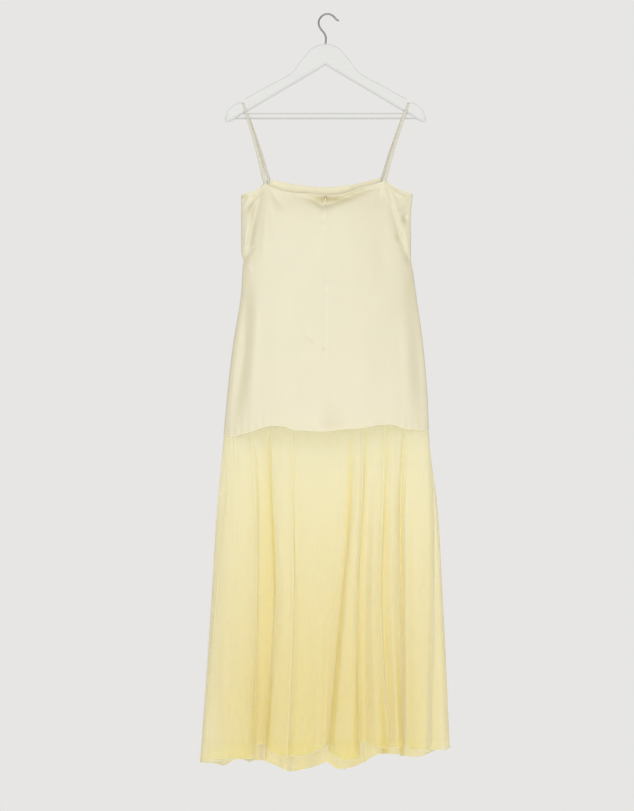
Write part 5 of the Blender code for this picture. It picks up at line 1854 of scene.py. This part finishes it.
def build_slider(material):
    """The slider: a shield with cheeks and pin, and its body behind the seam that it runs in."""
    mesh = bmesh.new()
    front = PIN.y + PIN_STANDOFF
    wide, thick, high = SLIDER_SIZE
    middle = front + thick / 2
    points = line_of(PIN.x, middle, PIN.z + high / 2 - high * column(SLIDER_SHAPE, "along"))
    sections = shaped(SLIDER_SHAPE, wide, thick, SLIDER_CORNERS, SLIDER_SQUARENESS)
    add_straight(mesh, points, RIGHT, -INWARD, sections)
    long, deep, high = CHEEK_SIZE
    sections = shaped(CHEEK_SHAPE, deep, high, SLIDER_CORNERS, SMALL_SQUARENESS)
    cheeks = PIN.x + np.array((-1, 1)) * CHEEK_SPACING / 2
    for cheek in cheeks:
        places = cheek + column(CHEEK_SHAPE, "along") * long
        add_straight(mesh, line_of(places, front - deep / 2 + CHEEK_SINK, PIN.z), INWARD, UP, sections)
    sections = np.tile(ellipse(PIN_DIAMETER / 2, PIN_DIAMETER / 2, PIN_CORNERS), (2, 1, 1))
    add_straight(mesh, line_of(cheeks, PIN.y, PIN.z), INWARD, UP, sections)
    turns = np.array([[CENTRE_BACK_TURN]])
    top = neck_down(turns)
    wide, thick, high = SLIDER_BODY_SIZE
    downs = high * column(SLIDER_BODY_SHAPE, "along")[:, None] - PIN.z
    parts = (downs - top) / (waist_down(turns) - top)
    along, out = directions(satin, turns, parts)
    places = tape_surface(SLIDER_BODY_INSET)(turns, parts)[:, 0]
    sections = shaped(SLIDER_BODY_SHAPE, wide, thick, SLIDER_BODY_CORNERS, SLIDER_SQUARENESS)
    add_tube(mesh, sweep_rings(places, along[:, 0], out[:, 0], sections))
    neck = np.stack((places[SLIDER_BODY_MIDDLE], (PIN.x, middle, PIN.z)))
    wide, high = SLIDER_NECK_SIZE
    sections = np.tile(ellipse(wide / 2, high / 2, SLIDER_NECK_CORNERS, SMALL_SQUARENESS), (2, 1, 1))
    add_straight(mesh, neck, RIGHT, UP, sections)
    return finish_mesh("zip_slider_shield", mesh, material, METAL_SHARP)


def add_ring(mesh, centre, radius, section):
    """Adds a closed ring that turns about the line across the dress."""
    rings = []
    for angle in np.linspace(0.0, 2 * np.pi, EYE_STEPS, endpoint=False):
        out = INWARD * np.cos(angle) + UP * np.sin(angle)
        middle = np.array(centre) + out * radius
        rings.append([mesh.verts.new((middle + RIGHT * wide + out * deep) * MM) for wide, deep in section])
    count = len(section)
    for ring, following in zip(rings, rings[1:] + rings[:1]):
        for index in range(count):
            other = (index + 1) % count
            mesh.faces.new((ring[index], ring[other], following[other], following[index]))


def build_pull(material, end_material):
    """The pull: a rolled eye on the pin, a slim waisted bar and a darker drop at its end."""
    mesh = bmesh.new()
    eye_wall = (PULL_EYE_RADIUS - PULL_HOLE_RADIUS) / 2
    eye_radius = PULL_HOLE_RADIUS + eye_wall
    add_ring(mesh, PIN, eye_radius, ellipse(PULL_EYE_HALF_WIDTH, eye_wall, EYE_CORNERS, SMALL_SQUARENESS))
    drops = eye_radius + (PULL_LENGTH - eye_radius) * column(PULL_SHAPE, "along")
    sections = shaped(PULL_SHAPE, 2.0, 2.0, PULL_CORNERS, SMALL_SQUARENESS)
    add_straight(mesh, line_of(PIN.x, PIN.y, PIN.z - drops), RIGHT, -INWARD, sections)
    pull = finish_mesh("zip_pull_drop", mesh, material, METAL_SHARP)
    pull.data.materials.append(end_material)
    for face in pull.data.polygons:
        if face.center.z < (PIN.z - PULL_LENGTH * PULL_DARK_FROM) * MM:
            face.material_index = 1
    return pull


def build_tapes(material):
    """The two halves of the zip's tape, either side of the seam."""
    rows = np.linspace(ZIP_TOP_PART, ZIP_END_PART, TAPE_ROWS)
    tapes = []
    for name, side in (("zip_tape_left", -1), ("zip_tape_right", 1)):
        first, last = sorted(CENTRE_BACK_TURN + side * turn for turn in TAPE_TURNS)
        columns = np.linspace(first, last, TAPE_COLUMNS)
        tapes.append(build_cloth(name, tape_surface(TAPE_INSET), columns, rows, TAPE_THICKNESS, material))
    return tapes


def build_teeth(spacing, material):
    """The zip's teeth, along the seam between the tapes."""
    parts = np.linspace(ZIP_TOP_PART, TEETH_END_PART, TEETH_ROWS)[:, None]
    points = tape_surface(TEETH_INSET)(np.array([[CENTRE_BACK_TURN]]), parts)[:, 0]
    lengths = stitch_lengths(spacing, spacing * TOOTH_SHARE, TOOTH_WIDTH * MM, TOOTH_DEPTH * MM)
    tree = stitch_tree("Teeth", lengths, material)
    return grow("zip_teeth", line_mesh("zip_teeth_line", points, False), tree, lengths, material)


def build_tack(material):
    """The few threads across the seam that end the zip."""
    place = satin(np.array([[CENTRE_BACK_TURN]]), np.array([[TACK_PART]]))[0, 0]
    points = place - INWARD * TACK_STANDOFF + UP * np.array(TACK_DROPS)[:, None]
    lengths = stitch_lengths(TACK_THREAD * MM, TACK_THREAD * MM, TACK_WIDTH * MM, TACK_THREAD * MM)
    tree = stitch_tree("Tack", lengths, material)
    return grow("zip_end_tack", line_mesh("zip_tack_line", points, False), tree, lengths, material)


class DRESS_OT_zip(bpy.types.Operator):
    """Builds the concealed zip: its tape, teeth, slider and pull"""

    bl_idname = "dress.zip"
    bl_label = "Zip"

    def execute(self, context):
        colours = context.scene.dress_colours
        sizes = context.scene.dress_sizes
        tape = satin_material("zip_tape_weave", colours.tape, sizes.chiffon_pitch)
        enamel = metal_material("zip_enamel", colours.enamel, roughness=0.4, metallic=0.0)
        brass = metal_material("zip_slider_brass", colours.slider, roughness=0.35, metallic=0.6)
        thread = thread_material("zip_thread", colours.thread)
        tapes = build_tapes(tape)
        ride_dress(build_teeth(sizes.tooth_spacing, enamel), "zip_tape")
        for cloth in tapes:
            declare_cloth(cloth, "zip_tape")
        ride_dress(build_slider(brass), "zip_metal", "zip_slider")
        pull = build_pull(enamel, brass)
        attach(pull, PULL_BODY)
        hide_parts("zip_pull")
        ride_dress(build_tack(thread), "satin")
        return {"FINISHED"}


class DRESS_OT_stage(bpy.types.Operator):
    """Sets up the pale backdrop, the floor, the studio lights and the camera"""

    bl_idname = "dress.stage"
    bl_label = "Stage"

    def execute(self, context):
        scene = context.scene
        colours = scene.dress_colours
        scene.view_settings.view_transform = "Standard"
        scene.view_settings.look = "None"
        scene.cycles.transparent_max_bounces = SHEER_BOUNCES
        scene.cycles.diffuse_bounces = DIFFUSE_BOUNCES
        world = bpy.data.worlds.new("studio")
        world.use_nodes = True
        background = world.node_tree.nodes["Background"]
        background.inputs["Color"].default_value = shade(colours.backdrop, 1.0)
        seen = add_node(world.node_tree, "ShaderNodeLightPath").outputs["Is Camera Ray"]
        strength = map_range(world.node_tree, seen, after=(AMBIENT_STRENGTH, 1.0))
        world.node_tree.links.new(strength, background.inputs["Strength"])
        scene.world = world
        build_floor(colours.floor)
        for light in STUDIO_LIGHTS:
            data = bpy.data.lights.new(light.name, "AREA")
            data.shape = "DISK"
            data.size = light.size
            data.energy = light.power
            lamp = bpy.data.objects.new(light.name, data)
            lamp.location = light.place
            toward = Vector(light.aim) - Vector(light.place)
            lamp.rotation_mode = "QUATERNION"
            lamp.rotation_quaternion = toward.to_track_quat("-Z", "Y")
            lamp.visible_camera = False
            scene.collection.objects.link(lamp)
        data = bpy.data.cameras.new("camera")
        data.lens = CAMERA_LENS
        camera = bpy.data.objects.new("camera", data)
        camera.location = CAMERA_PLACE
        camera.rotation_euler = (math.pi / 2, 0.0, 0.0)
        scene.collection.objects.link(camera)
        scene.camera = camera
        return {"FINISHED"}


def build_floor(colour):
    """A plain round floor below the dress."""
    material, shader = new_material("floor_paint", roughness=0.8)
    tree = material.node_tree
    cloud = noise(tree, place_on(tree), FLOOR_CLOUD)
    tint = blend_colours(tree, cloud, *[shade(colour, share) for share in FLOOR_TINTS])
    tree.links.new(tint, shader.inputs["Base Color"])
    mesh = bmesh.new()
    bmesh.ops.create_circle(mesh, cap_ends=True, segments=FLOOR_CORNERS, radius=FLOOR_RADIUS)
    bmesh.ops.translate(mesh, verts=mesh.verts, vec=(0.0, 0.0, -FLOOR_DOWN))
    return finish_mesh("floor", mesh, material)


BUILD_STEPS = (
    DRESS_OT_hanger,
    DRESS_OT_straps,
    DRESS_OT_bodice,
    DRESS_OT_skirt,
    DRESS_OT_seams,
    DRESS_OT_stitches,
    DRESS_OT_zip,
    DRESS_OT_stage,
)


class DRESS_PT_panel(bpy.types.Panel):
    """Sizes, colours and building steps of the dress"""

    bl_idname = "DRESS_PT_panel"
    bl_label = "Maxi dress"
    bl_space_type = "VIEW_3D"
    bl_region_type = "UI"
    bl_category = "Dress"

    def draw(self, context):
        layout = self.layout
        for settings in (context.scene.dress_colours, context.scene.dress_sizes):
            box = layout.box()
            for name in type(settings).__annotations__:
                box.prop(settings, name)
        for step in BUILD_STEPS:
            layout.operator(step.bl_idname)


CLASSES = (DressColours, DressSizes, *BUILD_STEPS, DRESS_PT_panel)


def register():
    """Adds the classes and the scene's settings."""
    for item in CLASSES:
        bpy.utils.register_class(item)
    bpy.types.Scene.dress_colours = bpy.props.PointerProperty(type=DressColours)
    bpy.types.Scene.dress_sizes = bpy.props.PointerProperty(type=DressSizes)


def unregister():
    """Takes the classes and the settings out again."""
    del bpy.types.Scene.dress_sizes
    del bpy.types.Scene.dress_colours
    for item in reversed(CLASSES):
        bpy.utils.unregister_class(item)


def corners(box):
    """A box's two corners as plain lists."""
    return [[float(value) for value in corner] for corner in box]


def main():
    """Builds the dress."""
    register()
    for step in BUILD_STEPS:
        group, name = step.bl_idname.split(".")
        getattr(getattr(bpy.ops, group), name)()


if __name__ == "__main__":
    main()
